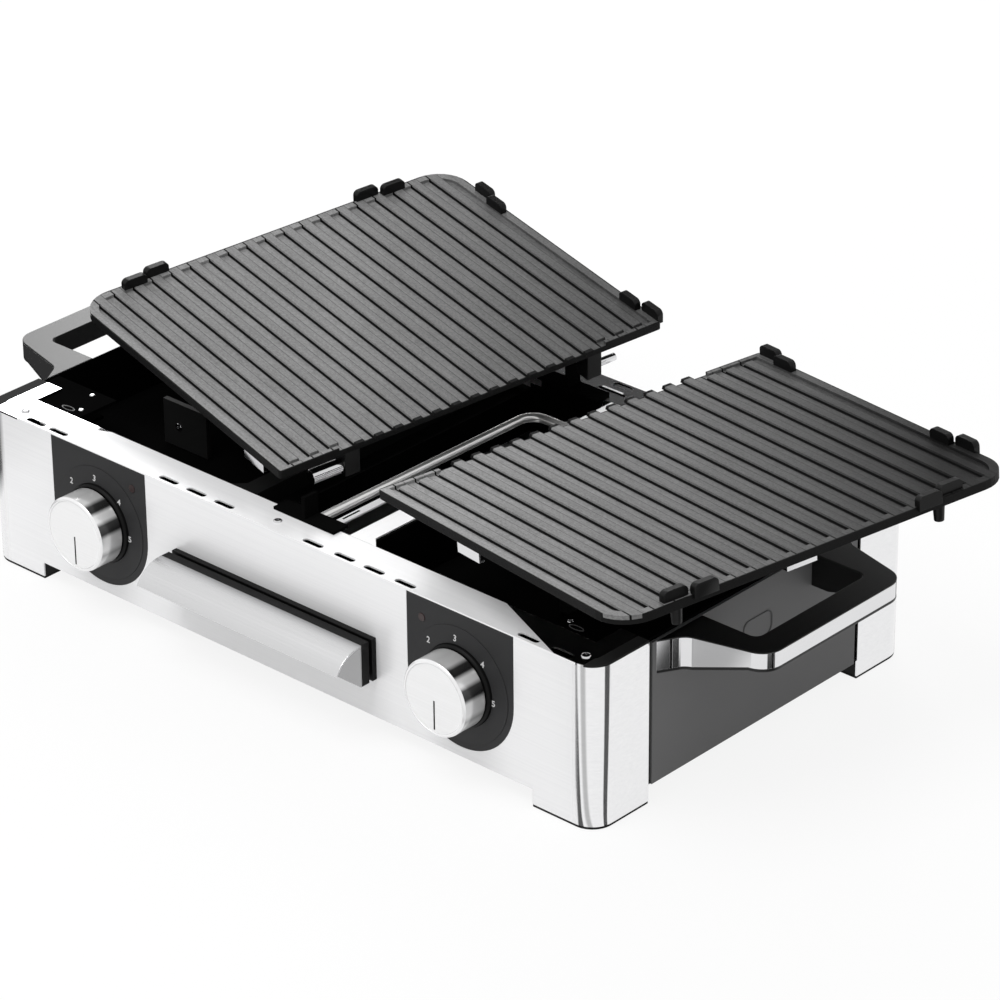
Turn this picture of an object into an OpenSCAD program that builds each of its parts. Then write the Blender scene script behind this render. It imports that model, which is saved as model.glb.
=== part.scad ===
// Electric table grill with two lift-off grill plates over one steel base.
// Origin: centre of the footprint on the ground. +X right, +Y back, +Z up.

/* [Base] */
// Length of the steel base without the handles
base_length = 571; // [520:1:640]
// Depth of the base
base_depth = 321; // [300:1:380]
// Height of the top flange over the ground
base_height = 121; // [118:1:150]
// Corner radius of the base seen from above
base_corner_r = 16.5; // [10:0.5:30]
// Thickness of the sheet steel
sheet_t = 1.2; // [0.8:0.1:2]
// Length of the steel that wraps round each end
wrap_len = 52.5; // [45:0.5:60]
// Width of each foot on the front and the back
foot_w = 53.5; // [45:0.5:64]
// Height of the gap between the feet
foot_h = 13; // [10:0.5:16]
// Depth of the top flange at the front and the back
flange_d = 28.5; // [26:0.5:36]
// Width of the top flange at the ends
flange_end_w = 24; // [16:0.5:30]

/* [Control panels] */
// Place of each control panel, as a share of the way from the tray front to the base's end
panel_share = 0.3931; // [0.36:0.0001:0.42]
// Width of a control panel
panel_w = 93.8; // [84:0.1:98]
// Height of the knob axes, as a share of the way from the gap between the feet to the top
knob_share = 0.5019; // [0.49:0.0001:0.54]
// Radius of a knob
knob_r = 27.4; // [20:0.1:29]
// Length of the metal part of a knob
knob_len = 19.8; // [14:0.1:22]
// Radius of the black bezel behind a knob
bezel_r = 29.2; // [29.2:0.1:34]

/* [Drip tray] */
// Width of the tray front
tray_front_w = 188.4; // [160:0.2:200]
// Height of the tray front
tray_front_h = 31.3; // [29:0.1:34]
// Height of the lower edge of the tray front
tray_front_z = 42.5; // [42:0.1:45]
// Room between the drip tray and the back of the base
tray_back_room = 50.4; // [38:0.1:118]
// Radius of the curved steel pull
pull_r = 26; // [18:0.5:30]

/* [Handles] */
// How far a handle stands out from the base
handle_reach = 66; // [52:0.5:80]
// Half of a handle's length where it meets the base
handle_root = 101; // [90:0.5:104]
// Handle's top under the base's top
handle_drop = 3; // [1:0.5:9]
// Height of the metal band at the root
band_root_h = 22; // [18:0.5:26]
// Height of the metal band at the grip
band_grip_h = 12; // [8:0.5:16]

/* [Grill plates] */
// Width of a grill plate along its ribs
plate_w = 265; // [220:1:278]
// Depth of a grill plate across its ribs
plate_d = 318; // [280:1:330]
// Thickness of the plate under its ribs
plate_t = 3.8; // [3:0.1:8]
// Height of the ribs and the border over the plate
rib_h = 2.4; // [1.5:0.1:4]
// Distance from rib to rib
rib_pitch = 15.9; // [13:0.1:20]
// Corner radius at the plate's outer corners
plate_corner_r = 25; // [10:0.5:40]
// Length of the legs under the outer edge
leg_len = 17; // [12:0.5:24]
// Length of a windshield lug
lug_len = 19; // [12:0.5:20]

/* [Lifted plates] */
// Left plate's centre as it is lifted, from the middle
left_lift_x = -110; // [-112:1:-108]
// Left plate's centre as it is lifted, from the middle
left_lift_y = 47.5; // [44:0.5:50]
// Left plate's top at its centre, over the top of the base
left_lift_z = 51.8; // [51:0.1:79]
// Right plate's centre as it is lifted, from the middle
right_lift_x = 239.5; // [236:0.5:242]
// Right plate's centre as it is lifted, from the middle
right_lift_y = -10.9; // [-14:0.1:-8]
// Right plate's top at its centre, over the top of the base
right_lift_z = 61.5; // [59:0.1:89]

/* [Heating] */
// Heating tubes' axis under the top of the base
heater_drop = 8; // [7:0.5:9]
// Radius of the heating tubes
heater_r = 3.4; // [3:0.1:4]
// Clearance of the tub floors over the tray front
tub_over_tray = 2.2; // [2:0.1:10]

/* [Hidden] */

$fn = 48;
arc_steps = 8;        // straight pieces in each rounded corner of an outline
over = 1;             // overrun of every cut
place_step = 0.1;     // worked out places are set to this step
gap = 0.3;            // clearance between pieces that only meet
snug = 0.05;          // radial clearance of a shaft in its bore

steel = "gainsboro";
dark = "#2a2a2a";
grey = "#4a4a4c";
cast = "#3a3a3b";

function stepped(v) = round(v / place_step) * place_step;

// Places worked out from the base
front_y = -base_depth / 2;
end_x = base_length / 2;
pad_h = 2;            // rubber pads under the feet
inner_front_y = front_y + sheet_t;
flange_under = base_height - sheet_t;
handle_top = base_height - handle_drop;
panel_x = stepped(tray_front_w / 2 + panel_share * (end_x - tray_front_w / 2));
knob_z = stepped(foot_h + knob_share * (base_height - foot_h));
heater_z = base_height - heater_drop;
tub_floor_z = tray_front_z + tray_front_h + tub_over_tray;

// Top flange: slots and screws, as shares of the base's length
slot_shares = [-0.413, -0.373, -0.181, -0.134, -0.087, 0.059, 0.110, 0.157, 0.206, 0.395, 0.445];
slot_len = 17.6;
slot_w = 4.8;
slot_inset = 4.6;     // slot centre from the front edge
flange_screw_shares = [-0.445, -0.010, 0.470];
flange_screw_inset = 11;
screw_head_r = 3.2;
screw_head_h = 1.4;
screw_shank_r = 1.5;
screw_shank_len = 5;
screw_hole_r = 1.7;

// Control panel
panel_lip = 2.6;      // rim behind the sheet
panel_back_t = 3;
bush_r = 4.6;
lens_r = 2.9;
lens_x = 33.4;        // lens from the panel's centre, towards the middle
lens_z = 37.6;        // lens over the knob axis
lens_len = 5;
lens_proud = 0.4;
dial_in_r = bezel_r + gap;
dial_out_r = 42;
dial_t_in = 1.4;
dial_t_out = 0.4;

// Knob, measured out from the front of the base
bezel_proud = 4.6;
bezel_wall = 8;
knob_back = 5.7;
knob_bevel = 1.4;
knob_wall = 2.6;
face_t = 1;
face_inset = 0.5;     // face behind the knob's front rim
hub_neck_r = bezel_r - bezel_wall - gap;
hub_behind = 1.6;     // hub's back end from the front of the base
hub_depth = 6;        // spindle's end behind the face
pointer_w = 1.2;
pointer_t = 0.5;
pointer_from_share = 0.06;
pointer_to_share = 0.84;
spindle_r = 3;
spindle_in = 19;      // spindle's inner end behind the sheet
thermostat_w = 36;
thermostat_h = 34;
thermostat_d = 17;
thermostat_back = 8.4; // box from the front of the base
terminal_tab_w = 6.3;
terminal_tab_t = 0.8;
terminal_tab_len = 3.2;
terminal_tab_share = 0.28;

// Drip tray, its slot, its rails
trim_proud = 4.2;
trim_side = 3.4;
trim_rise = 2;
trim_behind = 2.4;
trim_step = 1.9;
tray_wall = 1.2;
tray_clear = 0.7;
tray_block_t = 7;
tray_block_back = 7;  // block's back face from the front of the base
pull_face_t = 1.2;
pull_lip_t = 1.5;
pull_turn = 62;
pull_steps = 10;
trim_in_w = tray_front_w - 2 * trim_side;
trim_in_z0 = tray_front_z + trim_rise;
trim_in_z1 = tray_front_z + tray_front_h - trim_rise;
tray_w = trim_in_w - 2 * tray_clear;
tray_z0 = trim_in_z0 + tray_clear;
tray_z1 = trim_in_z1 - tray_clear;
tray_block_in = 2.6;  // back of the tray's front block behind the front of the base
tray_front_end = front_y + tray_block_in;
tray_depth = -front_y - tray_back_room - tray_front_end;
rail_t = 1.5;
rail_ledge = 7;
rail_h = 15;          // rail's wall over its ledge
rail_front = 10;      // rail's front end behind the front of the base
rail_short = 16;      // rail's length short of the tray's

// Handles
grip_w = 20.5;
handle_open = 56;     // half of the finger gap
handle_lip = 2.4;     // black lip under the metal band
band_t = 2;
band_seam = 1.4;
band_top_gap = 1;
grip_half = 69;
root_corner_x = 10;   // outer corner of the root from the base
root_corner_y = 17.5; // and from the root's end
root_r = 12;
grip_r = 16;
open_r = 6;
slope_from = 14;      // where the underside starts to rise
slope_to = 52;        // where it has risen
seam_y_shares = [0.915, 0.625];
panel_t = 2.5;
panel_end_gap = 3.2;  // gap between an end panel and the steel

// Base pan and feet
pan_t = 1;
pan_lip = 3;
vent_len = 50;
vent_w = 5;
vent_pitch = 16;
vent_count = 6;
vent_x_share = 0.27;
foot_wall = 0.3;

// Tubs, centre frame and fat channel
tub_t = 1.2;
tub_rim = 8;
tub_in_x = 61;
tub_edge = 1;         // tub's front wall behind the flange's edge
tub_half_d = -front_y - flange_d - tub_edge;
web_out_x = 60;
web_in_x = 44;
web_gusset = 8;       // legs of the web's corner gussets
ledge_drop = 12.2;    // ledge under the top of the base
ledge_z = base_height - ledge_drop;
ledge_in_x = 31;
channel_bottom = tub_floor_z - 2;
tongue_w = 9;

// Clips on the front and back flange that the plates hook into
clip_left = 20;       // clip's reach to the left and to the right of the middle
clip_right = 36;
clip_d = 14;
clip_t = 2.2;
clip_drop = 9;
clip_under = base_height - clip_drop;
fin_x = 7.5;
fin_t = 3;
fin_h = 18;
fin_d = 13;

// Leg seats on the end panels
seat_rim = 8;         // seat's inner edge from its bore
seat_d = 30;
seat_t = 2.5;
seat_drop = 20;       // seat under the top of the base
seat_z = base_height - seat_drop;
seat_bore_r = 5.2;
seat_wall_h = 12;

// Grill plate, in its own frame: top at z = 0, ribs along x, outer edge at -x
plate_total = plate_t + rib_h;
border_w = 6.5;
rib_share = 0.42;     // rib's top as a share of the pitch
rib_flank = 0.9;      // slope of a rib's side
rib_count = floor((plate_d - 2 * border_w) / rib_pitch);
rib_end_gap = 3;
rib_out = 2.2;        // middle ribs' ends out over the inner edge
lip_w = 4;
lip_ribs = 3;
inner_corner_r = 3;
leg_r_top = 4.4;
leg_r_foot = 3.4;
leg_inset = 14;
leg_y = 106;
lug_w = 5;
lug_h = 7.4;
lug_step = 4.4;       // an outer lug to an inner lug, across the edge
lug_gap = 20.6;       // centre to centre in a pair
lug_drop = 2.5;
outer_lug_shares = [-0.325, 0.305];       // pairs along the outer edge, as shares of the depth
back_lug_shares_left = [-0.274, 0.420];   // pairs along the back edge, as shares of the width
back_lug_shares_right = [-0.285, 0.415];
pin_r = 2.9;
pin_len = 16;
bush_len = 24;
bush_out_r = 5.4;
hook_w = 13;
hook_d = 12;
hook_h = 19;
hook_y = 101;
hook_inset = 7;
pin_drop = 13;
pin_seat = 5;         // how deep the pins sit in their ears

// Lifted poses of the two plates, in degrees: about x, about y, about z
left_turn = [4.2, 5.4, -12.4];
right_turn = [1.5, -4.1, -12.3];

// Heating tubes: corner places in each tub, as shares of the room across it and of half its length
heater_side = 8.6;    // nearest that a tube's axis comes to a tub's wall
tub_out_x = end_x - panel_t - 2 * gap;
tub_room_w = tub_out_x - tub_in_x - 2 * (tub_t + heater_side);
tub_room_d = tub_half_d - tub_t - heater_side;
heater_left_shares = [[0, -0.331], [0, 0.9005], [0.7103, 0.9005], [0.7103, -0.331], [0.215, -0.331],
    [0.215, 0.4238], [0.498, 0.4238]];
heater_right_shares = [[0.88, -0.49], [0.102, -0.49], [0.102, 0.3708], [0.64, 0.3708]];
clamp_left_shares = [[0.7103, 0.265], [0, 0.265]];
clamp_right_shares = [[0.88, 0.159], [0.102, -0.053]];
inner_leg_shares = [0.11, -0.9434];   // front end of the right tube's slanted inner leg in the gutter
inner_leg_share = 0.784;  // that leg's length, as a share of the gutter's
inner_leg_slant = 5.9;
heater_bend = 14;
heater_stub_short = 24;
stub_under = 3;       // long stubs end this far under the tub floors
heater_stub_long = heater_z - tub_floor_z + stub_under;
collar_len = 9;
collar_t = 0.5;
clamp_w = 12;
clamp_t = 1;

// Corners of a tube's path in the tub on one side: 1 right, -1 left
function tub_places(shares, side) = [for (s = shares)
    [side * stepped(tub_in_x + tub_t + heater_side + s.x * tub_room_w), stepped(s.y * tub_room_d)]];

heater_left_path = tub_places(heater_left_shares, -1);
heater_right_path = tub_places(heater_right_shares, 1);
leg_start = [stepped(inner_leg_shares.x * ledge_in_x), stepped(inner_leg_shares.y * tub_half_d)];
leg_end_y = stepped(2 * inner_leg_share * tub_half_d);
leg_turn = 90 - inner_leg_slant;
bend_end = [heater_bend * (1 - cos(leg_turn)), leg_end_y + heater_bend * sin(leg_turn)];
leg_joint = [
    stepped(leg_start.x + bend_end.x * cos(inner_leg_slant) + bend_end.y * sin(inner_leg_slant)),
    stepped(leg_start.y + bend_end.y * cos(inner_leg_slant) - bend_end.x * sin(inner_leg_slant))];

// Back of the base
gland_share = -0.3327; // gland's place, as a share of the base's length
gland_x = stepped(gland_share * base_length);
gland_z = 45;
gland_r = 9;
gland_hole_r = 4;
gland_flange_r = 12;
gland_flange_t = 3;
gland_len = 22;
block_l = 46;
block_w = 18;
block_h = 16;
block_ways = 3;

// Shared plane shapes
module round_rect(w, d, r) {
    square([w - 2 * r, d], center = true);
    square([w, d - 2 * r], center = true);
    for (sx = [-1, 1], sy = [-1, 1])
        translate([sx * (w / 2 - r), sy * (d / 2 - r)])
            circle(r = r);
}

module slot_shape(len, w) {
    square([len - w, w], center = true);
    for (s = [-1, 1])
        translate([s * (len - w) / 2, 0])
            circle(d = w, $fn = 24);
}

module ring_shape(r_out, r_in) {
    difference() {
        circle(r = r_out);
        circle(r = r_in);
    }
}

function unit(v) = v / norm(v);

// Points of one rounded corner at p, on the way from a to b
function corner_arc(a, p, b, r) = r <= 0 ? [p] :
    let (u = unit(a - p), v = unit(b - p), half = acos(u * v) / 2,
        c = p + unit(u + v) * r / sin(half),
        s = p + u * r / tan(half), e = p + v * r / tan(half),
        a0 = atan2(s.y - c.y, s.x - c.x), turn = atan2(e.y - c.y, e.x - c.x) - a0,
        sweep = turn > 180 ? turn - 360 : turn < -180 ? turn + 360 : turn)
    [for (i = [0 : arc_steps]) c + r * [cos(a0 + sweep * i / arc_steps), sin(a0 + sweep * i / arc_steps)]];

// Outline through corners given as [x, y, radius]
function rounded_outline(corners) = let (n = len(corners))
    [for (i = [0 : n - 1]) let (a = corners[(i + n - 1) % n], p = corners[i], b = corners[(i + 1) % n])
        each corner_arc([a.x, a.y], [p.x, p.y], [b.x, b.y], p.z)];

// A plane shape in x and z, pushed through y from y0 to y1
module along_y(y0, y1) {
    translate([0, y1, 0])
        rotate([90, 0, 0])
            linear_extrude(y1 - y0)
                children();
}

// A plane shape in y and z, pushed through x from x0 to x1
module along_x(x0, x1) {
    translate([x0, 0, 0])
        rotate([90, 0, 90])
            linear_extrude(x1 - x0)
                children();
}

module box(x0, x1, y0, y1, z0, z1) {
    translate([x0, y0, z0])
        cube([x1 - x0, y1 - y0, z1 - z0]);
}

// Steel shells
module panel_shape(grow) {
    half = panel_w / 2 + grow;
    translate([panel_x, knob_z])
        intersection() {
            union() {
                circle(r = half);
                translate([-half, 0])
                    square([2 * half, flange_under - knob_z + over]);
            }
            translate([-half - over, -half - over])
                square([2 * (half + over), flange_under - knob_z + half + over]);
        }
}

module shell_half() {
    difference() {
        union() {
            translate([0, 0, pad_h])
                linear_extrude(base_height - pad_h)
                    difference() {
                        round_rect(base_length, base_depth, base_corner_r);
                        round_rect(base_length - 2 * sheet_t, base_depth - 2 * sheet_t,
                            base_corner_r - sheet_t);
                    }
            translate([0, 0, flange_under])
                linear_extrude(sheet_t)
                    difference() {
                        round_rect(base_length, base_depth, base_corner_r);
                        square([base_length + 2 * over, base_depth - 2 * flange_d], center = true);
                    }
            for (sx = [-1, 1])
                translate([sx * (end_x - flange_end_w / 2), front_y + wrap_len / 2 + base_corner_r / 2,
                    flange_under + sheet_t / 2])
                    cube([flange_end_w, wrap_len - base_corner_r, sheet_t], center = true);
        }
        box(-end_x - over, end_x + over, front_y + wrap_len, -front_y + over, -over, base_height + over);
        box(-end_x + foot_w, end_x - foot_w, front_y - over, front_y + wrap_len, -over, foot_h);
        for (s = slot_shares)
            translate([s * base_length, front_y + slot_inset, flange_under - over])
                linear_extrude(sheet_t + 2 * over)
                    slot_shape(slot_len, slot_w);
        for (s = flange_screw_shares)
            translate([s * base_length, front_y + flange_screw_inset, flange_under - over])
                cylinder(r = screw_hole_r, h = sheet_t + 2 * over);
    }
}

module front_shell() {
    color(steel)
        difference() {
            shell_half();
            for (m = [0, 1])
                mirror([m, 0, 0])
                    along_y(front_y - over, front_y + sheet_t + over)
                        panel_shape(0);
            box(-tray_front_w / 2 + trim_step - gap, tray_front_w / 2 - trim_step + gap,
                front_y - over, front_y + sheet_t + over,
                tray_front_z + trim_rise / 2 - gap, tray_front_z + tray_front_h - trim_rise / 2 + gap);
        }
}

module rear_shell() {
    color(steel)
        difference() {
            mirror([0, 1, 0])
                shell_half();
            translate([gland_x, -front_y + over, gland_z])
                rotate([90, 0, 0])
                    cylinder(r = gland_r + gap, h = sheet_t + 2 * over);
        }
}

// Ends of the base
module side_panel(side) {
    color(grey)
        box(side > 0 ? end_x - panel_t : -end_x, side > 0 ? end_x : -end_x + panel_t,
            front_y + wrap_len + panel_end_gap, -front_y - wrap_len - panel_end_gap, foot_h, handle_top);
}

// Handle, drawn for the right end: plan outlines and side profile
function handle_outline(inset) = rounded_outline([
    [end_x, -handle_root + inset, 0],
    [end_x + root_corner_x - inset, -handle_root + root_corner_y + inset / 2, root_r],
    [end_x + handle_reach - inset, -grip_half + inset, grip_r],
    [end_x + handle_reach - inset, grip_half - inset, grip_r],
    [end_x + root_corner_x - inset, handle_root - root_corner_y - inset / 2, root_r],
    [end_x, handle_root - inset, 0]]);

module handle_plan(inset) {
    difference() {
        polygon(handle_outline(inset));
        polygon(rounded_outline([
            [end_x - over, -handle_open, 0],
            [end_x + handle_reach - grip_w, -handle_open, open_r],
            [end_x + handle_reach - grip_w, handle_open, open_r],
            [end_x - over, handle_open, 0]]));
    }
}

// Everything over the handle's sloping underside, raised by rise
module over_underside(rise, top) {
    along_y(-handle_root - over, handle_root + over)
        polygon([
            [end_x - over, handle_top - band_root_h - handle_lip + rise],
            [end_x + slope_from, handle_top - band_root_h - handle_lip + rise],
            [end_x + slope_to, handle_top - band_grip_h - handle_lip + rise],
            [end_x + handle_reach + over, handle_top - band_grip_h - handle_lip + rise],
            [end_x + handle_reach + over, top],
            [end_x - over, top]]);
}

module handle() {
    color(dark) {
        intersection() {
            linear_extrude(handle_top)
                handle_plan(band_t);
            over_underside(0, handle_top);
        }
        difference() {
            intersection() {
                linear_extrude(handle_top)
                    handle_plan(0);
                over_underside(0, handle_top);
            }
            over_underside(handle_lip, handle_top + over);
        }
        difference() {
            intersection() {
                linear_extrude(handle_top)
                    handle_plan(0);
                over_underside(0, handle_top);
            }
            box(0, end_x + handle_reach + over, -handle_root - over, handle_root + over, 0,
                handle_top - band_top_gap);
        }
    }
}

module handle_band() {
    seam_ys = [for (s = seam_y_shares) s * handle_root];
    color(steel)
        difference() {
            intersection() {
                linear_extrude(handle_top - band_top_gap)
                    difference() {
                        polygon(handle_outline(0));
                        polygon(handle_outline(band_t));
                    }
                over_underside(handle_lip, handle_top);
            }
            for (sy = [-1, 1], y = seam_ys)
                translate([end_x, sy * y - band_seam / 2, 0])
                    cube([handle_reach + over, band_seam, handle_top]);
        }
}

// Underside: pan with vents, foot blocks and rubber pads
module base_pan() {
    pan_w = base_length - 2 * sheet_t - 2 * gap;
    pan_d = base_depth - 2 * sheet_t - 2 * gap;
    color(dark)
        difference() {
            union() {
                translate([0, 0, foot_h])
                    linear_extrude(pan_t)
                        round_rect(pan_w, pan_d, base_corner_r - sheet_t);
                translate([0, 0, foot_h])
                    linear_extrude(pan_lip)
                        difference() {
                            round_rect(pan_w, pan_d, base_corner_r - sheet_t);
                            round_rect(pan_w - 2 * pan_t, pan_d - 2 * pan_t, base_corner_r - sheet_t - pan_t);
                        }
            }
            for (sx = [-1, 1], i = [0 : vent_count - 1])
                translate([sx * base_length * vent_x_share, (i - (vent_count - 1) / 2) * vent_pitch,
                    foot_h - over])
                    linear_extrude(pan_t + 2 * over)
                        slot_shape(vent_len, vent_w);
            for (sx = [-1, 1], sy = [-1, 1])
                translate([sx * (end_x - foot_w / 2), sy * (-front_y - wrap_len / 2), foot_h - over])
                    cylinder(r = screw_hole_r, h = pan_t + 2 * over);
            for (sx = [-1, 1])
                box(sx > 0 ? end_x - sheet_t - panel_t : -end_x - over,
                    sx > 0 ? end_x + over : -end_x + sheet_t + panel_t,
                    front_y + wrap_len + panel_end_gap, -front_y - wrap_len - panel_end_gap,
                    foot_h - over, foot_h + pan_lip + over);
            for (m = [0, 1])
                mirror([m, 0, 0])
                    along_y(front_y, inner_front_y + panel_back_t + gap)
                        panel_shape(panel_lip + gap);
        }
}

module foot_corner(grow) {
    intersection() {
        round_rect(base_length - 2 * sheet_t + 2 * grow, base_depth - 2 * sheet_t + 2 * grow,
            base_corner_r - sheet_t + grow);
        for (sx = [-1, 1], sy = [-1, 1])
            translate([sx * (end_x - foot_w / 2), sy * (-front_y - wrap_len / 2)])
                square([foot_w, wrap_len], center = true);
    }
}

module foot_blocks() {
    color(dark)
        difference() {
            translate([0, 0, pad_h])
                linear_extrude(foot_h - pad_h)
                    foot_corner(-foot_wall);
            for (sx = [-1, 1], sy = [-1, 1])
                translate([sx * (end_x - foot_w / 2), sy * (-front_y - wrap_len / 2), pad_h - over])
                    cylinder(r = screw_hole_r, h = foot_h);
        }
}

module foot_pads() {
    color("black")
        difference() {
            linear_extrude(pad_h)
                foot_corner(sheet_t - foot_wall);
            for (sx = [-1, 1], sy = [-1, 1])
                translate([sx * (end_x - foot_w / 2), sy * (-front_y - wrap_len / 2), -over])
                    cylinder(r = screw_head_r + gap, h = pad_h + 2 * over);
        }
}

// Tube's passage through an upright wall from x0 to x1
module leg_passage(x0, x1) {
    along_x(x0 - over, x1 + over)
        translate([leg_joint.y, heater_z])
            circle(r = heater_r + gap);
}

// Tubs under the plates, drawn for the right side; the tubes' ends leave through their floors
module tub(ends, passage) {
    color(dark)
        difference() {
            union() {
                box(tub_in_x, tub_out_x, -tub_half_d, tub_half_d, tub_floor_z, flange_under);
                box(tub_in_x - tub_rim, tub_out_x - flange_end_w / 2, -tub_half_d - tub_rim,
                    tub_half_d + tub_rim, flange_under - tub_t, flange_under);
            }
            box(tub_in_x + tub_t, tub_out_x - tub_t, -tub_half_d + tub_t, tub_half_d - tub_t,
                tub_floor_z + tub_t, base_height + over);
            for (e = ends)
                translate([abs(e.x), e.y, tub_floor_z - over])
                    cylinder(r = heater_r + gap, h = tub_t + 2 * over);
            if (passage)
                leg_passage(tub_in_x, tub_in_x + tub_t);
        }
}

function last(list) = list[len(list) - 1];

// Steel frame in the middle, with a ledge down each side of the fat channel
module centre_frame() {
    half_d = -front_y - flange_d;
    color(steel)
        difference() {
            for (m = [0, 1])
                mirror([m, 0, 0]) {
                    box(web_in_x, web_out_x, -half_d + gap, half_d - gap, flange_under, base_height);
                    for (n = [0, 1])
                        mirror([0, n, 0])
                            translate([web_out_x, -half_d + gap, flange_under])
                                linear_extrude(sheet_t)
                                    polygon([[-over, 0], [web_gusset, 0], [0, web_gusset],
                                        [-over, web_gusset]]);
                    box(web_in_x, web_in_x + sheet_t, -tub_half_d, tub_half_d, ledge_z, flange_under);
                    box(ledge_in_x, web_in_x + sheet_t, -tub_half_d, tub_half_d, ledge_z - sheet_t, ledge_z);
                    box(web_in_x, web_in_x + tongue_w - gap, -half_d - tongue_w, half_d + tongue_w,
                        flange_under - sheet_t, flange_under);
                }
            leg_passage(web_in_x, web_in_x + sheet_t);
        }
}

module fat_channel() {
    wall_x = ledge_in_x + tub_t;
    color(dark) {
        difference() {
            box(-wall_x - tub_t, wall_x + tub_t, -tub_half_d, tub_half_d, channel_bottom, ledge_z - sheet_t);
            box(-wall_x, wall_x, -tub_half_d + tub_t, tub_half_d - tub_t, channel_bottom - over,
                ledge_z + over);
        }
        for (m = [0, 1])
            mirror([0, m, 0])
                box(-ledge_in_x + gap, ledge_in_x - gap, tub_half_d - tub_t, tub_half_d,
                    ledge_z - sheet_t, clip_under);
    }
}

// Clip bars across the fat channel at the front and the back
module bridge_clips() {
    half_d = -front_y - flange_d;
    color(dark)
        for (m = [0, 1])
            mirror([0, m, 0]) {
                box(-clip_left, clip_right, -half_d - clip_d / 2, -half_d + clip_d / 2,
                    base_height, base_height + clip_t);
                box(-clip_left, clip_right, -half_d + gap, -half_d + clip_t, clip_under,
                    base_height + clip_t);
                box(fin_x - fin_t / 2, fin_x + fin_t / 2, -half_d - fin_d / 2, -half_d + fin_d / 2,
                    base_height, base_height + fin_h);
            }
}

// Seats that take the plates' legs, drawn for one corner of the right end
module leg_seat() {
    seat_x = plate_w + gap - leg_inset;
    out_x = tub_out_x - tub_t;
    difference() {
        union() {
            box(seat_x - seat_bore_r - seat_rim, out_x - gap, leg_y - seat_d / 2, leg_y + seat_d / 2,
                seat_z - seat_t, seat_z);
            box(out_x - gap - seat_t, out_x - gap, leg_y - seat_d / 2, leg_y + seat_d / 2, seat_z - seat_t,
                seat_z + seat_wall_h);
        }
        translate([seat_x, leg_y, seat_z - seat_t - over])
            cylinder(r = seat_bore_r, h = seat_t + 2 * over);
    }
}

module leg_seats() {
    color(dark)
        for (mx = [0, 1], my = [0, 1])
            mirror([mx, 0, 0])
                mirror([0, my, 0])
                    leg_seat();
}

// Heating tubes
module tube_between(a, b) {
    translate([a.x, a.y, heater_z])
        rotate([0, 90, atan2(b.y - a.y, b.x - a.x)])
            cylinder(r = heater_r, h = norm(b - a), $fn = 32);
}

module tube_bend(a, p, b) {
    u = unit(a - p);
    v = unit(b - p);
    half = acos(u * v) / 2;
    c = p + unit(u + v) * heater_bend / sin(half);
    s = p + u * heater_bend / tan(half) - c;
    e = p + v * heater_bend / tan(half) - c;
    turn = atan2(e.y, e.x) - atan2(s.y, s.x);
    sweep = turn > 180 ? turn - 360 : turn < -180 ? turn + 360 : turn;
    translate([c.x, c.y, heater_z])
        rotate([0, 0, sweep > 0 ? atan2(s.y, s.x) : atan2(e.y, e.x)])
            rotate_extrude(angle = abs(sweep))
                translate([heater_bend, 0])
                    circle(r = heater_r, $fn = 32);
}

module heater(path, stub_first, stub_last) {
    n = len(path);
    cut = [for (i = [0 : n - 1]) i == 0 || i == n - 1 ? 0 :
        heater_bend / tan(acos(unit(path[i - 1] - path[i]) * unit(path[i + 1] - path[i])) / 2)];
    color("silver") {
        for (i = [0 : n - 2]) {
            u = unit(path[i + 1] - path[i]);
            tube_between(path[i] + u * cut[i], path[i + 1] - u * cut[i + 1]);
        }
        for (i = [1 : n - 2])
            tube_bend(path[i - 1], path[i], path[i + 1]);
        for (end = [[path[0], stub_first], [path[n - 1], stub_last]])
            if (end[1] > 0) {
                translate([end[0].x, end[0].y, heater_z - end[1]])
                    cylinder(r = heater_r, h = end[1], $fn = 32);
                translate([end[0].x, end[0].y, heater_z])
                    sphere(r = heater_r, $fn = 32);
            }
    }
}

// The right tube's inner leg runs back at a slant, then bends to the right into a collar
module heater_right() {
    color("silver") {
        translate([leg_start.x, leg_start.y, heater_z])
            rotate([0, 0, -inner_leg_slant]) {
                rotate([-90, 0, 0])
                    cylinder(r = heater_r, h = leg_end_y, $fn = 32);
                translate([heater_bend, leg_end_y, 0])
                    mirror([1, 0, 0])
                        rotate_extrude(angle = leg_turn)
                            translate([heater_bend, 0])
                                circle(r = heater_r, $fn = 32);
                sphere(r = heater_r, $fn = 32);
                translate([0, 0, -heater_stub_short])
                    cylinder(r = heater_r, h = heater_stub_short, $fn = 32);
            }
        translate([leg_joint.x - collar_len / 2, leg_joint.y, heater_z])
            rotate([0, 90, 0])
                cylinder(r = heater_r + collar_t, h = collar_len, $fn = 32);
    }
    heater(concat([leg_joint + [over, 0], [heater_right_path[0].x, leg_joint.y]], heater_right_path),
        0, heater_stub_long);
}

// Clamps that carry the tubes from the tub floors
module heater_clamps() {
    foot_z = tub_floor_z + tub_t;
    color(steel)
        for (p = concat(tub_places(clamp_left_shares, -1), tub_places(clamp_right_shares, 1)))
            translate([p.x, p.y, 0])
                difference() {
                    union() {
                        box(-heater_r - clamp_t - gap, heater_r + clamp_t + gap, -clamp_w / 2, clamp_w / 2,
                            heater_z - heater_r - clamp_t - gap, heater_z);
                        box(-clamp_t, clamp_t, -clamp_w / 2, clamp_w / 2, foot_z, heater_z - heater_r - gap);
                        box(-clamp_w / 2, clamp_w / 2, -clamp_w / 2, clamp_w / 2, foot_z, foot_z + clamp_t);
                    }
                    translate([0, 0, heater_z])
                        rotate([90, 0, 0])
                            cylinder(r = heater_r + gap, h = clamp_w + 2 * over, center = true);
                }
}

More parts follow.
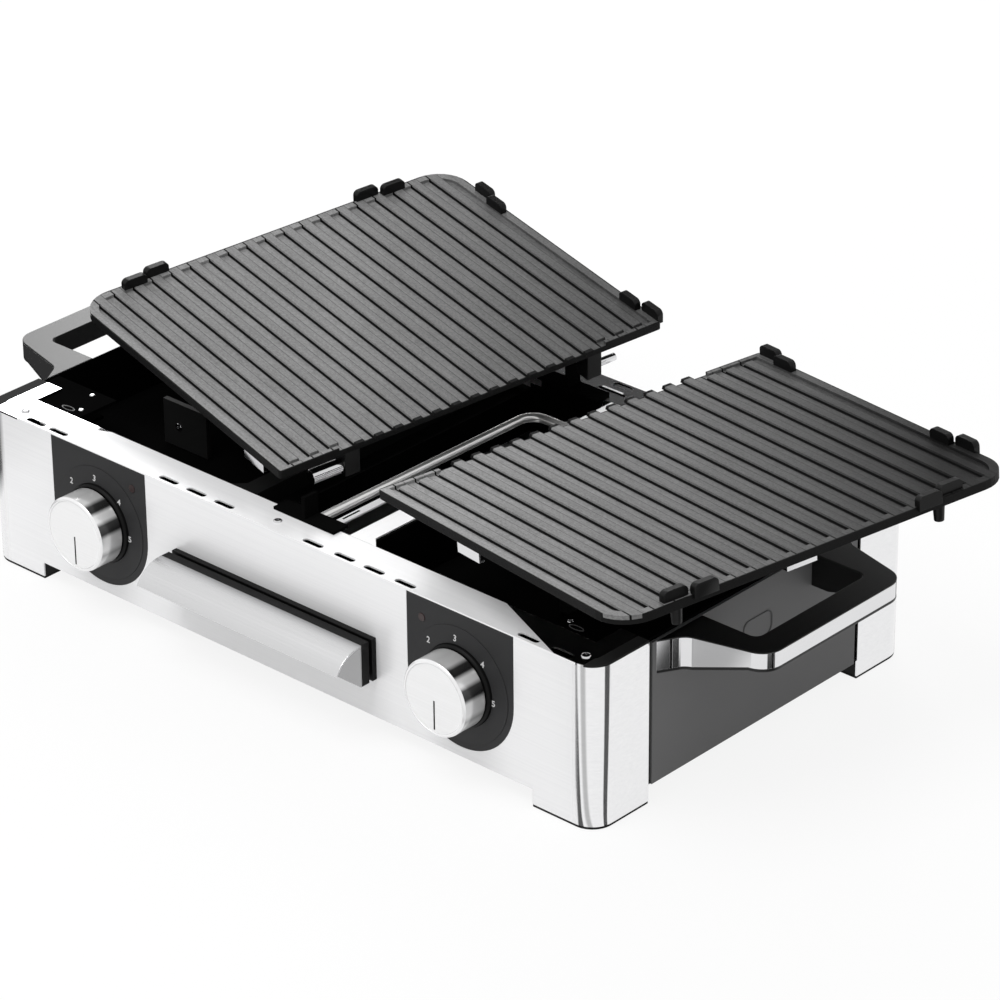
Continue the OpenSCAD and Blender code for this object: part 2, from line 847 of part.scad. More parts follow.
// Drip tray and its slide rails
module tray_rails() {
    wall_x = tray_w / 2 + gap;
    rail_y0 = front_y + rail_front;
    rail_len = tray_depth - rail_short;
    color(steel)
        for (m = [0, 1])
            mirror([m, 0, 0]) {
                box(wall_x, wall_x + rail_t, rail_y0, rail_y0 + rail_len, foot_h + pan_t, tray_z0 + rail_h);
                box(wall_x - rail_ledge, wall_x, rail_y0, rail_y0 + rail_len, tray_z0 - gap - rail_t,
                    tray_z0 - gap);
            }
}

module drip_tray() {
    color("silver")
        difference() {
            box(-tray_w / 2, tray_w / 2, tray_front_end, tray_front_end + tray_depth, tray_z0, tray_z1);
            box(-tray_w / 2 + tray_wall, tray_w / 2 - tray_wall, tray_front_end + tray_wall,
                tray_front_end + tray_depth - tray_wall, tray_z0 + tray_wall, tray_z1 + over);
        }
}

module tray_front() {
    color(dark) {
        box(-tray_w / 2, tray_w / 2, front_y - tray_block_back, tray_front_end, tray_z0, tray_z1);
        box(-tray_front_w / 2, tray_front_w / 2, front_y - tray_block_back - tray_block_t,
            front_y - tray_block_back, tray_front_z, tray_front_z + tray_front_h);
    }
}

// Steel front of the tray with its curved pull, as a profile in y and z
module tray_pull() {
    face_y = front_y - tray_block_back - tray_block_t;
    top_z = tray_front_z + tray_front_h;
    c = [face_y - pull_face_t, top_z - pull_r];
    color(steel)
        along_x(-tray_front_w / 2, tray_front_w / 2) {
            translate([face_y - pull_face_t, tray_front_z])
                square([pull_face_t, tray_front_h]);
            polygon(concat(
                [for (i = [0 : pull_steps]) let (a = 90 + pull_turn * i / pull_steps)
                    c + pull_r * [cos(a), sin(a)]],
                [for (i = [pull_steps : -1 : 0]) let (a = 90 + pull_turn * i / pull_steps)
                    c + (pull_r - pull_lip_t) * [cos(a), sin(a)]]));
        }
}

module tray_slot_trim() {
    color(dark)
        difference() {
            union() {
                box(-tray_front_w / 2, tray_front_w / 2, front_y - trim_proud, front_y, tray_front_z,
                    tray_front_z + tray_front_h);
                box(-tray_front_w / 2 + trim_step, tray_front_w / 2 - trim_step, front_y,
                    front_y + trim_behind, tray_front_z + trim_rise / 2,
                    tray_front_z + tray_front_h - trim_rise / 2);
            }
            box(-trim_in_w / 2, trim_in_w / 2, front_y - trim_proud - over, front_y + trim_behind + over,
                trim_in_z0, trim_in_z1);
        }
}

// Control panel with everything round its knob axis, drawn for the right side
module at_knob() {
    translate([panel_x, front_y, knob_z])
        rotate([90, 0, 0])
            children();
}

module control_panel() {
    color(grey)
        difference() {
            union() {
                along_y(front_y, inner_front_y)
                    panel_shape(-gap / 2);
                along_y(inner_front_y, inner_front_y + panel_back_t)
                    difference() {
                        panel_shape(panel_lip);
                        translate([0, flange_under - gap])
                            square([base_length, base_height]);
                    }
            }
            translate([panel_x, inner_front_y + panel_back_t + over, knob_z])
                rotate([90, 0, 0])
                    cylinder(r = bush_r + gap, h = sheet_t + panel_back_t + 2 * over);
            translate([panel_x - lens_x, inner_front_y + panel_back_t + over, knob_z + lens_z])
                rotate([90, 0, 0])
                    cylinder(r = lens_r + snug, h = sheet_t + panel_back_t + 2 * over);
        }
}

module pilot_lens() {
    color("#553333")
        translate([panel_x - lens_x, front_y - lens_proud, knob_z + lens_z])
            rotate([-90, 0, 0])
                cylinder(r = lens_r, h = lens_len);
}

module dial_ring() {
    color(grey)
        at_knob()
            rotate_extrude($fn = 96)
                polygon([[dial_in_r, 0], [dial_out_r, 0], [dial_out_r, dial_t_out], [dial_in_r, dial_t_in]]);
}

module bezel() {
    color("black")
        at_knob()
            rotate_extrude($fn = 96)
                polygon([[bezel_r - bezel_wall, 0], [bezel_r, 0], [bezel_r, bezel_proud - knob_bevel],
                    [bezel_r - knob_bevel, bezel_proud], [bezel_r - bezel_wall, bezel_proud]]);
}

module knob() {
    front = knob_back + knob_len;
    color(steel)
        at_knob()
            rotate_extrude($fn = 96)
                polygon([[knob_r - knob_wall, knob_back], [knob_r, knob_back], [knob_r, front - knob_bevel],
                    [knob_r - knob_bevel, front], [knob_r - knob_wall, front]]);
}

module knob_face() {
    face_r = knob_r - knob_wall - snug;
    front = knob_back + knob_len - face_inset;
    color("whitesmoke")
        difference() {
            at_knob()
                translate([0, 0, front - face_t])
                    cylinder(r = face_r, h = face_t, $fn = 96);
            pointer_box(0);
        }
}

module pointer_box(shrink) {
    front = knob_back + knob_len - face_inset;
    at_knob()
        translate([-pointer_w / 2 + shrink, -knob_r * pointer_to_share + shrink, front - pointer_t])
            cube([pointer_w - 2 * shrink, knob_r * (pointer_to_share - pointer_from_share) - 2 * shrink,
                shrink > 0 ? pointer_t : pointer_t + over]);
}

module knob_pointer() {
    color("black")
        pointer_box(snug);
}

module knob_hub() {
    front = knob_back + knob_len - face_inset - face_t;
    color(dark)
        difference() {
            union() {
                at_knob()
                    translate([0, 0, hub_behind])
                        cylinder(r = hub_neck_r, h = knob_back - hub_behind);
                at_knob()
                    translate([0, 0, knob_back])
                        cylinder(r = knob_r - knob_wall - snug, h = front - knob_back, $fn = 96);
            }
            at_knob()
                translate([0, 0, hub_behind - over])
                    cylinder(r = spindle_r + snug, h = front - hub_depth - hub_behind + over);
        }
}

module spindle() {
    front = knob_back + knob_len - face_inset - face_t - hub_depth;
    color("silver")
        at_knob()
            translate([0, 0, -spindle_in])
                cylinder(r = spindle_r, h = front + spindle_in);
}

module thermostat() {
    color("tan")
        difference() {
            union() {
                translate([panel_x, front_y + thermostat_back + thermostat_d / 2, knob_z])
                    cube([thermostat_w, thermostat_d, thermostat_h], center = true);
                at_knob()
                    translate([0, 0, -thermostat_back])
                        cylinder(r = bush_r, h = thermostat_back - sheet_t / 2);
                for (s = [-1, 1])
                    translate([panel_x + s * thermostat_w * terminal_tab_share,
                        front_y + thermostat_back + thermostat_d / 2, knob_z - thermostat_h / 2])
                        cube([terminal_tab_w, terminal_tab_t, 2 * terminal_tab_len], center = true);
            }
            at_knob()
                translate([0, 0, -spindle_in - over])
                    cylinder(r = spindle_r + snug, h = spindle_in + 2 * over);
        }
}

// Back of the base
module cable_gland() {
    color(dark)
        translate([gland_x, -front_y, gland_z])
            rotate([90, 0, 0])
                difference() {
                    union() {
                        translate([0, 0, -gland_flange_t])
                            cylinder(r = gland_flange_r, h = gland_flange_t);
                        cylinder(r = gland_r, h = gland_len);
                    }
                    translate([0, 0, -gland_flange_t - over])
                        cylinder(r = gland_hole_r, h = gland_len + gland_flange_t + 2 * over);
                }
}

module terminal_block() {
    way = block_l / block_ways;
    color("white")
        difference() {
            translate([gland_x, -front_y - gland_len - block_w, foot_h + pan_t + block_h / 2])
                cube([block_l, block_w, block_h], center = true);
            for (i = [0 : block_ways - 1])
                translate([gland_x + (i - (block_ways - 1) / 2) * way, -front_y - gland_len - block_w,
                    foot_h + pan_t + block_h / 2])
                    cylinder(r = screw_head_r, h = block_h);
        }
}

module flange_screws() {
    color("silver")
        for (my = [0, 1])
            mirror([0, my, 0])
                for (s = flange_screw_shares)
                    translate([s * base_length, front_y + flange_screw_inset, base_height]) {
                        cylinder(r = screw_head_r, h = screw_head_h);
                        translate([0, 0, -screw_shank_len])
                            cylinder(r = screw_shank_r, h = screw_shank_len);
                    }
}

module base_screws() {
    color("silver")
        for (sx = [-1, 1], sy = [-1, 1])
            translate([sx * (end_x - foot_w / 2), sy * (-front_y - wrap_len / 2), pad_h - screw_head_h]) {
                cylinder(r = screw_head_r, h = screw_head_h);
                cylinder(r = screw_shank_r, h = foot_h + pan_t);
            }
}

// Grill plates: lift() puts a plate's own frame where the photograph shows it
module lift(right) {
    translate(right ? [right_lift_x, right_lift_y, base_height + right_lift_z] :
        [left_lift_x, left_lift_y, base_height + left_lift_z])
        rotate(right ? right_turn : left_turn)
            mirror([right ? 1 : 0, 0, 0])
                children();
}

// The left plate's outer edge is at -x and its inner edge, open for the fat, at +x
module plate_outline(inset) {
    polygon(rounded_outline([
        [-plate_w / 2 + inset, -plate_d / 2 + inset, plate_corner_r - inset],
        [plate_w / 2 - inset, -plate_d / 2 + inset, inner_corner_r],
        [plate_w / 2 - inset, plate_d / 2 - inset, inner_corner_r],
        [-plate_w / 2 + inset, plate_d / 2 - inset, plate_corner_r - inset]]));
}

module rib_profile() {
    top = rib_pitch * rib_share;
    polygon([[-top / 2 - rib_flank, 0], [top / 2 + rib_flank, 0], [top / 2, rib_h], [-top / 2, rib_h]]);
}

module grill_plate(right) {
    lip_len = lip_ribs * rib_pitch;
    color(cast)
        lift(right) {
            translate([0, 0, -plate_total])
                linear_extrude(plate_t)
                    plate_outline(0);
            translate([0, 0, -rib_h])
                linear_extrude(rib_h)
                    difference() {
                        plate_outline(0);
                        plate_outline(border_w);
                        translate([plate_w / 2 - border_w - over, -plate_d / 2 + lip_len])
                            square([border_w + 2 * over, plate_d - 2 * lip_len]);
                        translate([plate_w / 2 - border_w - over, -plate_d / 2 + border_w])
                            square([border_w - lip_w + over, plate_d - 2 * border_w]);
                    }
            intersection() {
                translate([0, 0, -rib_h])
                    linear_extrude(rib_h) {
                        plate_outline(border_w / 2);
                        translate([0, -plate_d / 2 + lip_len])
                            square([plate_w / 2 + rib_out, plate_d - 2 * lip_len]);
                    }
                for (i = [0 : rib_count - 1])
                    translate([0, (i - (rib_count - 1) / 2) * rib_pitch, -rib_h])
                        along_x(-plate_w / 2, abs(i - (rib_count - 1) / 2) > (rib_count - 1) / 2 - lip_ribs ?
                            plate_w / 2 - lip_w - rib_end_gap : plate_w / 2 + rib_out)
                            rib_profile();
            }
        }
}

module plate_legs(right) {
    color(dark)
        lift(right)
            for (sy = [-1, 1])
                translate([-plate_w / 2 + leg_inset, sy * leg_y, -plate_total - leg_len])
                    rotate_extrude()
                        polygon([[0, 0], [leg_r_foot, 0], [leg_r_top, leg_len], [0, leg_len]]);
}

// One lug: a bar with round ends that stands on the plate's border and laps over its edge
module lug() {
    rotate([90, 0, 0])
        linear_extrude(lug_w, center = true) {
            translate([-lug_len / 2, -lug_drop])
                square([lug_len, lug_drop + lug_h / 2]);
            translate([0, lug_h / 2])
                slot_shape(lug_len, lug_h);
        }
}

module lug_pair() {
    for (s = [-1, 1])
        translate([s * lug_gap / 2, s * lug_step / 2, 0])
            lug();
}

module windshield_lugs(right) {
    color("black")
        lift(right)
            difference() {
                union() {
                    for (s = outer_lug_shares)
                        translate([-plate_w / 2 + lug_w / 2, s * plate_d, 0])
                            rotate([0, 0, 90])
                                mirror([s < 0 ? 0 : 1, 0, 0])
                                    lug_pair();
                    for (s = right ? back_lug_shares_right : back_lug_shares_left)
                        translate([s * plate_w, plate_d / 2 - lug_w / 2, 0])
                            mirror([s < 0 ? 1 : 0, 0, 0])
                                lug_pair();
                }
                translate([0, 0, -plate_total])
                    linear_extrude(plate_total)
                        plate_outline(0);
            }
}

// Hooks under the inner edge: two black ears, a steel pin in the rear one, a steel bush on the front one
module hook_ears(right) {
    hook_x = plate_w / 2 - hook_inset;
    color(dark)
        lift(right)
            difference() {
                for (sy = [-1, 1])
                    translate([hook_x - hook_w / 2, sy * hook_y - hook_d / 2, -plate_total - hook_h])
                        cube([hook_w, hook_d, hook_h]);
                translate([hook_x, hook_y + hook_d / 2 - pin_seat, -plate_total - pin_drop])
                    rotate([-90, 0, 0])
                        cylinder(r = pin_r + snug, h = pin_seat + over);
                translate([hook_x, -hook_y - hook_d / 2 + pin_seat, -plate_total - pin_drop])
                    rotate([90, 0, 0])
                        cylinder(r = bush_out_r + snug, h = pin_seat + over);
            }
}

module hook_pins(right) {
    hook_x = plate_w / 2 - hook_inset;
    color("silver")
        lift(right) {
            translate([hook_x, hook_y + hook_d / 2 - pin_seat, -plate_total - pin_drop])
                rotate([-90, 0, 0])
                    cylinder(r = pin_r, h = pin_len + pin_seat);
            translate([hook_x, -hook_y - hook_d / 2 + pin_seat, -plate_total - pin_drop])
                rotate([90, 0, 0])
                    cylinder(r = bush_out_r, h = bush_len + pin_seat);
        }
}

front_shell();
rear_shell();
side_panel(-1);  // side_panel_left
side_panel(1);  // side_panel_right
mirror([1, 0, 0]) handle();  // handle_left
handle();  // handle_right
mirror([1, 0, 0]) handle_band();  // handle_band_left
handle_band();  // handle_band_right
base_pan();
foot_blocks();
foot_pads();
mirror([1, 0, 0])  // tub_left
        tub([heater_left_path[0], last(heater_left_path)], false);
tub([last(heater_right_path)], true);  // tub_right
centre_frame();
fat_channel();
bridge_clips();
leg_seats();
heater(heater_left_path, heater_stub_long, heater_stub_long);  // heater_left
heater_right();
heater_clamps();
tray_rails();
drip_tray();
tray_front();
tray_pull();
tray_slot_trim();
mirror([1, 0, 0]) control_panel();  // control_panel_left
control_panel();  // control_panel_right
mirror([1, 0, 0]) dial_ring();  // dial_ring_left
dial_ring();  // dial_ring_right
mirror([1, 0, 0]) bezel();  // bezel_left
bezel();  // bezel_right
mirror([1, 0, 0]) knob();  // knob_left
knob();  // knob_right
mirror([1, 0, 0]) knob_face();  // knob_face_left
knob_face();  // knob_face_right
mirror([1, 0, 0]) knob_pointer();  // knob_pointer_left
knob_pointer();  // knob_pointer_right
mirror([1, 0, 0]) knob_hub();  // knob_hub_left
knob_hub();  // knob_hub_right
mirror([1, 0, 0]) spindle();  // spindle_left
spindle();  // spindle_right
mirror([1, 0, 0]) thermostat();  // thermostat_left
thermostat();  // thermostat_right
mirror([1, 0, 0]) pilot_lens();  // pilot_lens_left
pilot_lens();  // pilot_lens_right
terminal_block();
cable_gland();
flange_screws();
base_screws();
grill_plate(false);  // grill_plate_left
grill_plate(true);  // grill_plate_right
plate_legs(false);  // plate_legs_left
plate_legs(true);  // plate_legs_right
windshield_lugs(false);  // windshield_lugs_left
windshield_lugs(true);  // windshield_lugs_right
hook_ears(false);  // hook_ears_left
hook_ears(true);  // hook_ears_right
hook_pins(false);  // hook_pins_left
hook_pins(true);  // hook_pins_right
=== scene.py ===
import math

import bmesh
import bpy
from mathutils import Euler, Matrix, Vector


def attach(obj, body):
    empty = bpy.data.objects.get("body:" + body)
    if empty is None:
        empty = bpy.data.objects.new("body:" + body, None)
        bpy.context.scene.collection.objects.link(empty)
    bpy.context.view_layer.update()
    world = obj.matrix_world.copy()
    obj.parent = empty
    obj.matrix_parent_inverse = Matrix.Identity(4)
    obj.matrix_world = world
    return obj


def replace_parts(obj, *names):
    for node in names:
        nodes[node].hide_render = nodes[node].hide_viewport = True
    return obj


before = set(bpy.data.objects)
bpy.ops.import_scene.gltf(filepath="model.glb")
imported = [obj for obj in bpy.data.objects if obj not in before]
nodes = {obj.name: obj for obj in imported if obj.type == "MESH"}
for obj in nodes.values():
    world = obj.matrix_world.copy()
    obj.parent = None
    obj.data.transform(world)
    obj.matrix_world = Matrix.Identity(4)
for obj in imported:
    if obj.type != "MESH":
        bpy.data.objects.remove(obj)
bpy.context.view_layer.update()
scene = bpy.context.scene
print("frame loaded:", len(nodes), "nodes")


def radians(angles):
    return [math.radians(a) for a in angles]


def addObject(name, data):
    obj = bpy.data.objects.new(name, data)
    scene.collection.objects.link(obj)
    return obj


# Camera: long lens, from the front right and above
camera = {"place": (1.9378, -2.0431, 1.5553), "turn": (62.3416, 0.4782, 42.3605), "lens": 165.53,
          "sensor": 36, "clip": (0.05, 60)}


def makeCamera():
    data = bpy.data.cameras.new("tableCamera")
    data.lens = camera["lens"]
    data.sensor_width = camera["sensor"]
    data.clip_start, data.clip_end = camera["clip"]
    obj = addObject("tableCamera", data)
    obj.location = camera["place"]
    obj.rotation_euler = radians(camera["turn"])
    scene.camera = obj


makeCamera()
print("camera made")


# Shader maths: a socket that takes part in Python expressions
class Value:
    def __init__(self, shader, socket):
        self.shader = shader
        self.socket = socket

    def maths(self, operation, *others):
        return self.shader.node("ShaderNodeMath", {"operation": operation}, dict(enumerate((self, *others))))

    def __add__(self, other):
        return self.maths("ADD", other)

    def __radd__(self, other):
        return self.maths("ADD", other)

    def __sub__(self, other):
        return self.maths("SUBTRACT", other)

    def __rsub__(self, other):
        return self.shader.node("ShaderNodeMath", {"operation": "SUBTRACT"}, {0: other, 1: self})

    def __mul__(self, other):
        return self.maths("MULTIPLY", other)

    def __rmul__(self, other):
        return self.maths("MULTIPLY", other)

    def __truediv__(self, other):
        return self.maths("DIVIDE", other)

    def __gt__(self, other):
        return self.maths("GREATER_THAN", other)

    def __lt__(self, other):
        return self.maths("LESS_THAN", other)

    def clamp(self):
        return self.maths("MAXIMUM", 0.0).maths("MINIMUM", 1.0)

    # 1 between low and high, fading to 0 over the width of soft on either side
    def band(self, low, high, soft):
        rise = (self - (low - soft)) / soft
        fall = ((high + soft) - self) / soft
        return rise.maths("MINIMUM", fall).clamp()


class Shader:
    def __init__(self, name):
        self.material = bpy.data.materials.new(name)
        self.material.use_nodes = True
        self.tree = self.material.node_tree
        self.tree.nodes.clear()
        self.out = self.tree.nodes.new("ShaderNodeOutputMaterial")

    # Any node: its type, its settings, and the values or links of its sockets
    def node(self, kind, settings=None, inputs=None, output=0):
        made = self.tree.nodes.new(kind)
        for key, setting in (settings or {}).items():
            if key == "stops":
                ramp = made.color_ramp
                while len(ramp.elements) < len(setting):
                    ramp.elements.new(0.5)
                for element, (place, tone) in zip(ramp.elements, setting):
                    element.position = place
                    element.color = (tone, tone, tone, 1)
            else:
                setattr(made, key, setting)
        for key, given in (inputs or {}).items():
            if isinstance(given, Value):
                self.tree.links.new(given.socket, made.inputs[key])
            else:
                made.inputs[key].default_value = given
        return Value(self, made.outputs[output])

    def coordinates(self):
        return self.node("ShaderNodeTexCoord", output="Object")

    # Coordinates in the frame of a piece that stands turned at a place
    def placed(self, place, turn):
        return self.node("ShaderNodeMapping", {"vector_type": "TEXTURE"},
                         {"Vector": self.coordinates(), "Location": place, "Rotation": radians(turn)})

    def part(self, vector, axis):
        return self.node("ShaderNodeSeparateXYZ", None, {"Vector": vector}, "XYZ".index(axis))

    def parts(self):
        return [self.part(self.coordinates(), axis) for axis in "XYZ"]

    def stretched(self, vector, scale):
        return self.node("ShaderNodeMapping", None, {"Vector": vector, "Scale": scale})

    def noise(self, vector, scale, detail, rough=0.5):
        return self.node("ShaderNodeTexNoise", {"noise_dimensions": "3D"},
                         {"Vector": vector, "Scale": scale, "Detail": detail, "Roughness": rough})

    # Noise drawn out along the axes with small scales
    def streaks(self, vector, scale, detail, rough=0.5):
        return self.noise(self.stretched(vector, scale), 1.0, detail, rough)

    def between(self, share, low, high):
        return self.node("ShaderNodeMapRange", None,
                         {"Value": share, "From Min": 0.0, "From Max": 1.0, "To Min": low, "To Max": high})

    def colour(self, share, first, second):
        return self.node("ShaderNodeMix", {"data_type": "RGBA"},
                         {0: share, 6: (*first, 1), 7: (*second, 1)}, 2)

    # A colour laid over another where the share is 1
    def over(self, share, below, colour):
        return self.node("ShaderNodeMix", {"data_type": "RGBA"}, {0: share, 6: below, 7: (*colour, 1)}, 2)

    def bump(self, height, strength, distance):
        return self.node("ShaderNodeBump", None,
                         {"Height": height, "Strength": strength, "Distance": distance})

    def finish(self, inputs):
        surface = self.node("ShaderNodeBsdfPrincipled", None, inputs)
        self.tree.links.new(surface.socket, self.out.inputs["Surface"])
        return self.material


# Brushed sheet: fine streaks along the sheet's length, lighter and darker
satinSteel = {"pale": (0.95, 0.95, 0.955), "dull": (0.87, 0.87, 0.88), "rough": (0.2, 0.3), "metal": 0.12,
              "streaks": (5, 240, 900), "streakRough": 0.6, "cloud": 6.0, "mix": (0.7, 0.3),
              "spread": (-0.5, 1.5), "lift": 0.05, "depth": 0.0001}


def brushed(s, values):
    fine = s.streaks(s.coordinates(), values["streaks"], 4, values["streakRough"])
    cloud = s.noise(s.coordinates(), values["cloud"], 2)
    mark = (fine * values["mix"][0] + cloud * values["mix"][1]).clamp()
    tone = s.colour(s.between(mark, *values["spread"]).clamp(), values["dull"], values["pale"])
    return fine, mark, tone


# With a shade, a painted shadow darkens the tone from its start to its end along Y
def makeSatinSteel(name, values):
    s = Shader(name)
    fine, mark, tone = brushed(s, values)
    if "shade" in values:
        start, end, deep = values["shade"]
        near = ((s.part(s.coordinates(), "Y") - start) / (end - start)).clamp()
        tone = s.over(near * near * deep, tone, (0, 0, 0))
    return s.finish({
        "Base Color": tone,
        "Metallic": values["metal"],
        "Roughness": s.between(mark, *values["rough"]),
        "Normal": s.bump(fine, values["lift"], values["depth"]),
    })


# Shell: satin front, polished bends, and a flange bright in its corners and at the back, with a dark rim of
# painted shade at its rounded ends
shell = {"level": 0.1195, "metal": (0.12, 0.06), "half": (0.2855, 0.1605), "round": 0.0165,
         "corner": (0.1924, 0.1353), "slope": 0.431, "back": 0.02, "smooth": 0.07,
         "rimIn": 0.0095, "rimFrom": 0.35, "rim": (0.008, 0.008, 0.008), "rimRough": 0.95,
         "bend": 0.2650, "ramp": 160, "bendMetal": 0.9, "bendSmooth": 0.68}


def makeShellSheet(name, values, form):
    s = Shader(name)
    fine, mark, tone = brushed(s, values)
    x, y, z = s.parts()
    farX, farY = x.maths("ABSOLUTE"), y.maths("ABSOLUTE")
    top = z > form["level"]
    corner = (farX - form["corner"][0]) * form["slope"] > farY - form["corner"][1]
    polished = corner.maths("MAXIMUM", y > form["back"]) * top
    overX = (farX - (form["half"][0] - form["round"])).clamp()
    overY = (farY - (form["half"][1] - form["round"])).clamp()
    reach = (overX * overX + overY * overY).maths("SQRT")
    # Painted shade: a dark line on the outer part of the flange's rounded edge at each end
    rim = (reach > form["round"] - form["rimIn"]) * (overX > form["round"] * form["rimFrom"]) * top
    bent = ((farX - form["bend"]) * form["ramp"]).clamp() * (1 - top)
    metal = s.between(top, *form["metal"]).maths("MAXIMUM", bent * form["bendMetal"])
    rough = s.between(mark, *values["rough"]) * (1 - bent * form["bendSmooth"])
    rough = rough * (1 - polished) + polished * form["smooth"]
    return s.finish({
        "Base Color": s.over(rim, tone, form["rim"]),
        "Metallic": metal.maths("MAXIMUM", polished) * (1 - rim),
        "Roughness": rough * (1 - rim) + rim * form["rimRough"],
        "Normal": s.bump(fine, values["lift"], values["depth"]),
    })


# Polished steel: almost a mirror, with faint wiping marks
brightSteel = {"colour": (0.82, 0.82, 0.83), "shade": (0.75, 0.75, 0.76), "rough": (0.06, 0.14),
               "smear": (30, 30, 90)}


def makeBrightSteel(name, values):
    s = Shader(name)
    smear = s.streaks(s.coordinates(), values["smear"], 3)
    return s.finish({
        "Base Color": s.colour(smear, values["shade"], values["colour"]),
        "Metallic": 1.0,
        "Roughness": s.between(smear, *values["rough"]),
    })


# Turned rim of the knobs: painted reflection, bright and dark bands round the axis, which is the dial's
# centre
paintedReflectionRim = {"centre": (0.1694, 0.0672), "rough": (0.16, 0.24), "metal": 0.35, "front": -0.1845,
             "grain": 200.0,
             "bands": [(0.0, 0.62), (0.055, 0.66), (0.075, 0.03), (0.105, 0.02), (0.122, 0.95), (0.15, 0.95),
                       (0.168, 0.07), (0.205, 0.02), (0.222, 0.72), (0.275, 0.8), (0.3, 0.42), (0.33, 0.78),
                       (0.42, 0.9), (0.5, 0.3), (0.56, 0.8), (0.7, 0.85), (0.78, 0.05), (0.82, 0.8),
                       (0.93, 0.85), (1.0, 0.62)]}


def makePaintedReflectionRim(name, values):
    s = Shader(name)
    x, y, z = s.parts()
    across = x - x.maths("SIGN") * values["centre"][0]
    angle = across.maths("ARCTAN2", z - values["centre"][1]) / (2 * math.pi)
    bands = s.node("ShaderNodeValToRGB", {"stops": values["bands"]}, {0: (angle + 1).maths("FRACT")})
    return s.finish({
        "Base Color": s.over(y < values["front"], bands, satinSteel["pale"]),
        "Metallic": values["metal"],
        "Roughness": s.between(s.noise(s.coordinates(), values["grain"], 2), *values["rough"]),
    })


# Painted sheet and moulded plastic: a fine grain over a quiet colour
grained = {"cloud": 14.0, "mix": (0.6, 0.4), "spread": (-0.3, 1.3), "depth": 0.0002}


def makeGrained(name, values):
    s = Shader(name)
    grain = s.noise(s.coordinates(), values["grain"], 3, 0.6)
    cloud = s.noise(s.coordinates(), grained["cloud"], 2)
    mark = cloud * grained["mix"][0] + grain * grained["mix"][1]
    return s.finish({
        "Base Color": s.colour(s.between(mark, *grained["spread"]).clamp(), values["low"], values["high"]),
        "Roughness": s.between(grain, *values["rough"]),
        "Specular IOR Level": values["gloss"],
        "Normal": s.bump(grain, values["lift"], grained["depth"]),
    })


panelPaint = {"low": (0.026, 0.026, 0.027), "high": (0.034, 0.034, 0.035), "grain": 1800.0,
              "rough": (0.46, 0.6), "gloss": 0.2, "lift": 0.08}
endPaint = {"low": (0.128, 0.128, 0.129), "high": (0.154, 0.154, 0.155), "grain": 1500.0,
            "rough": (0.45, 0.6), "gloss": 0.25, "lift": 0.08}
handlePlastic = {"low": (0.003, 0.003, 0.003), "high": (0.006, 0.006, 0.006), "grain": 1400.0,
                 "rough": (0.26, 0.36), "gloss": 0.38, "lift": 0.06}
blackEnamel = {"low": (0.002, 0.002, 0.002), "high": (0.0045, 0.0045, 0.0045), "grain": 900.0,
               "rough": (0.55, 0.7), "gloss": 0.0, "lift": 0.1}
boxPaint = {"low": (0.012, 0.012, 0.012), "high": (0.02, 0.02, 0.02), "grain": 900.0,
            "rough": (0.5, 0.65), "gloss": 0.1, "lift": 0.1}
partPlastic = {"low": (0.003, 0.003, 0.003), "high": (0.006, 0.006, 0.006), "grain": 1400.0,
               "rough": (0.4, 0.55), "gloss": 0.12, "lift": 0.1}
lugPlastic = {"low": (0.003, 0.003, 0.003), "high": (0.006, 0.006, 0.006), "grain": 1600.0,
              "rough": (0.3, 0.42), "gloss": 0.2, "lift": 0.1}
padRubber = {"low": (0.008, 0.008, 0.008), "high": (0.016, 0.016, 0.016), "grain": 1200.0,
             "rough": (0.7, 0.85), "gloss": 0.2, "lift": 0.2}
blockCeramic = {"low": (0.55, 0.5, 0.42), "high": (0.66, 0.62, 0.54), "grain": 700.0,
                "rough": (0.5, 0.7), "gloss": 0.4, "lift": 0.1}
digitPaint = {"low": (0.6, 0.6, 0.6), "high": (0.7, 0.7, 0.7), "grain": 2500.0,
              "rough": (0.5, 0.6), "gloss": 0.3, "lift": 0.02}

# Coated casting of the plates, in millimetres: foot, line and flank are from, to and softness across a rib;
# foot and line are painted shade
castCoat = {"black": (0.002, 0.002, 0.002), "edge": (0.006, 0.006, 0.006), "rough": (0.45, 0.65),
            "gloss": 0.1, "lift": 0.6, "depth": 0.0003,
            "pitch": 15.9, "foot": (-5.0, -3.85, 0.12), "line": (2.9, 3.3, 0.2), "lineShare": 0.6,
            "flank": (3.4, 15.9, 0.35), "ribShare": 0.88,
            "ribbed": 150.5, "deep": -3.6, "side": 131.4, "end": 158.0, "under": -2.9,
            "scores": (14, 420, 420), "grain": (420, 620, 620), "cloud": 18.0, "mix": (0.62, 0.28, 0.1),
            "spread": (-1.3, 2.3), "strength": (0.62, 1.38), "toward": (0.74, 0.67, 0),
            "left": {"place": (-0.110, 0.0475, 0.1728), "turn": (4.2, 5.4, -12.4), "reach": (-0.07, 0.11),
                     "tone": (0.232, 0.09)},
            "right": {"place": (0.2395, -0.0109, 0.1825), "turn": (1.5, -4.1, -12.3), "reach": (-0.03, 0.33),
                      "tone": (0.31, 0.019)}}


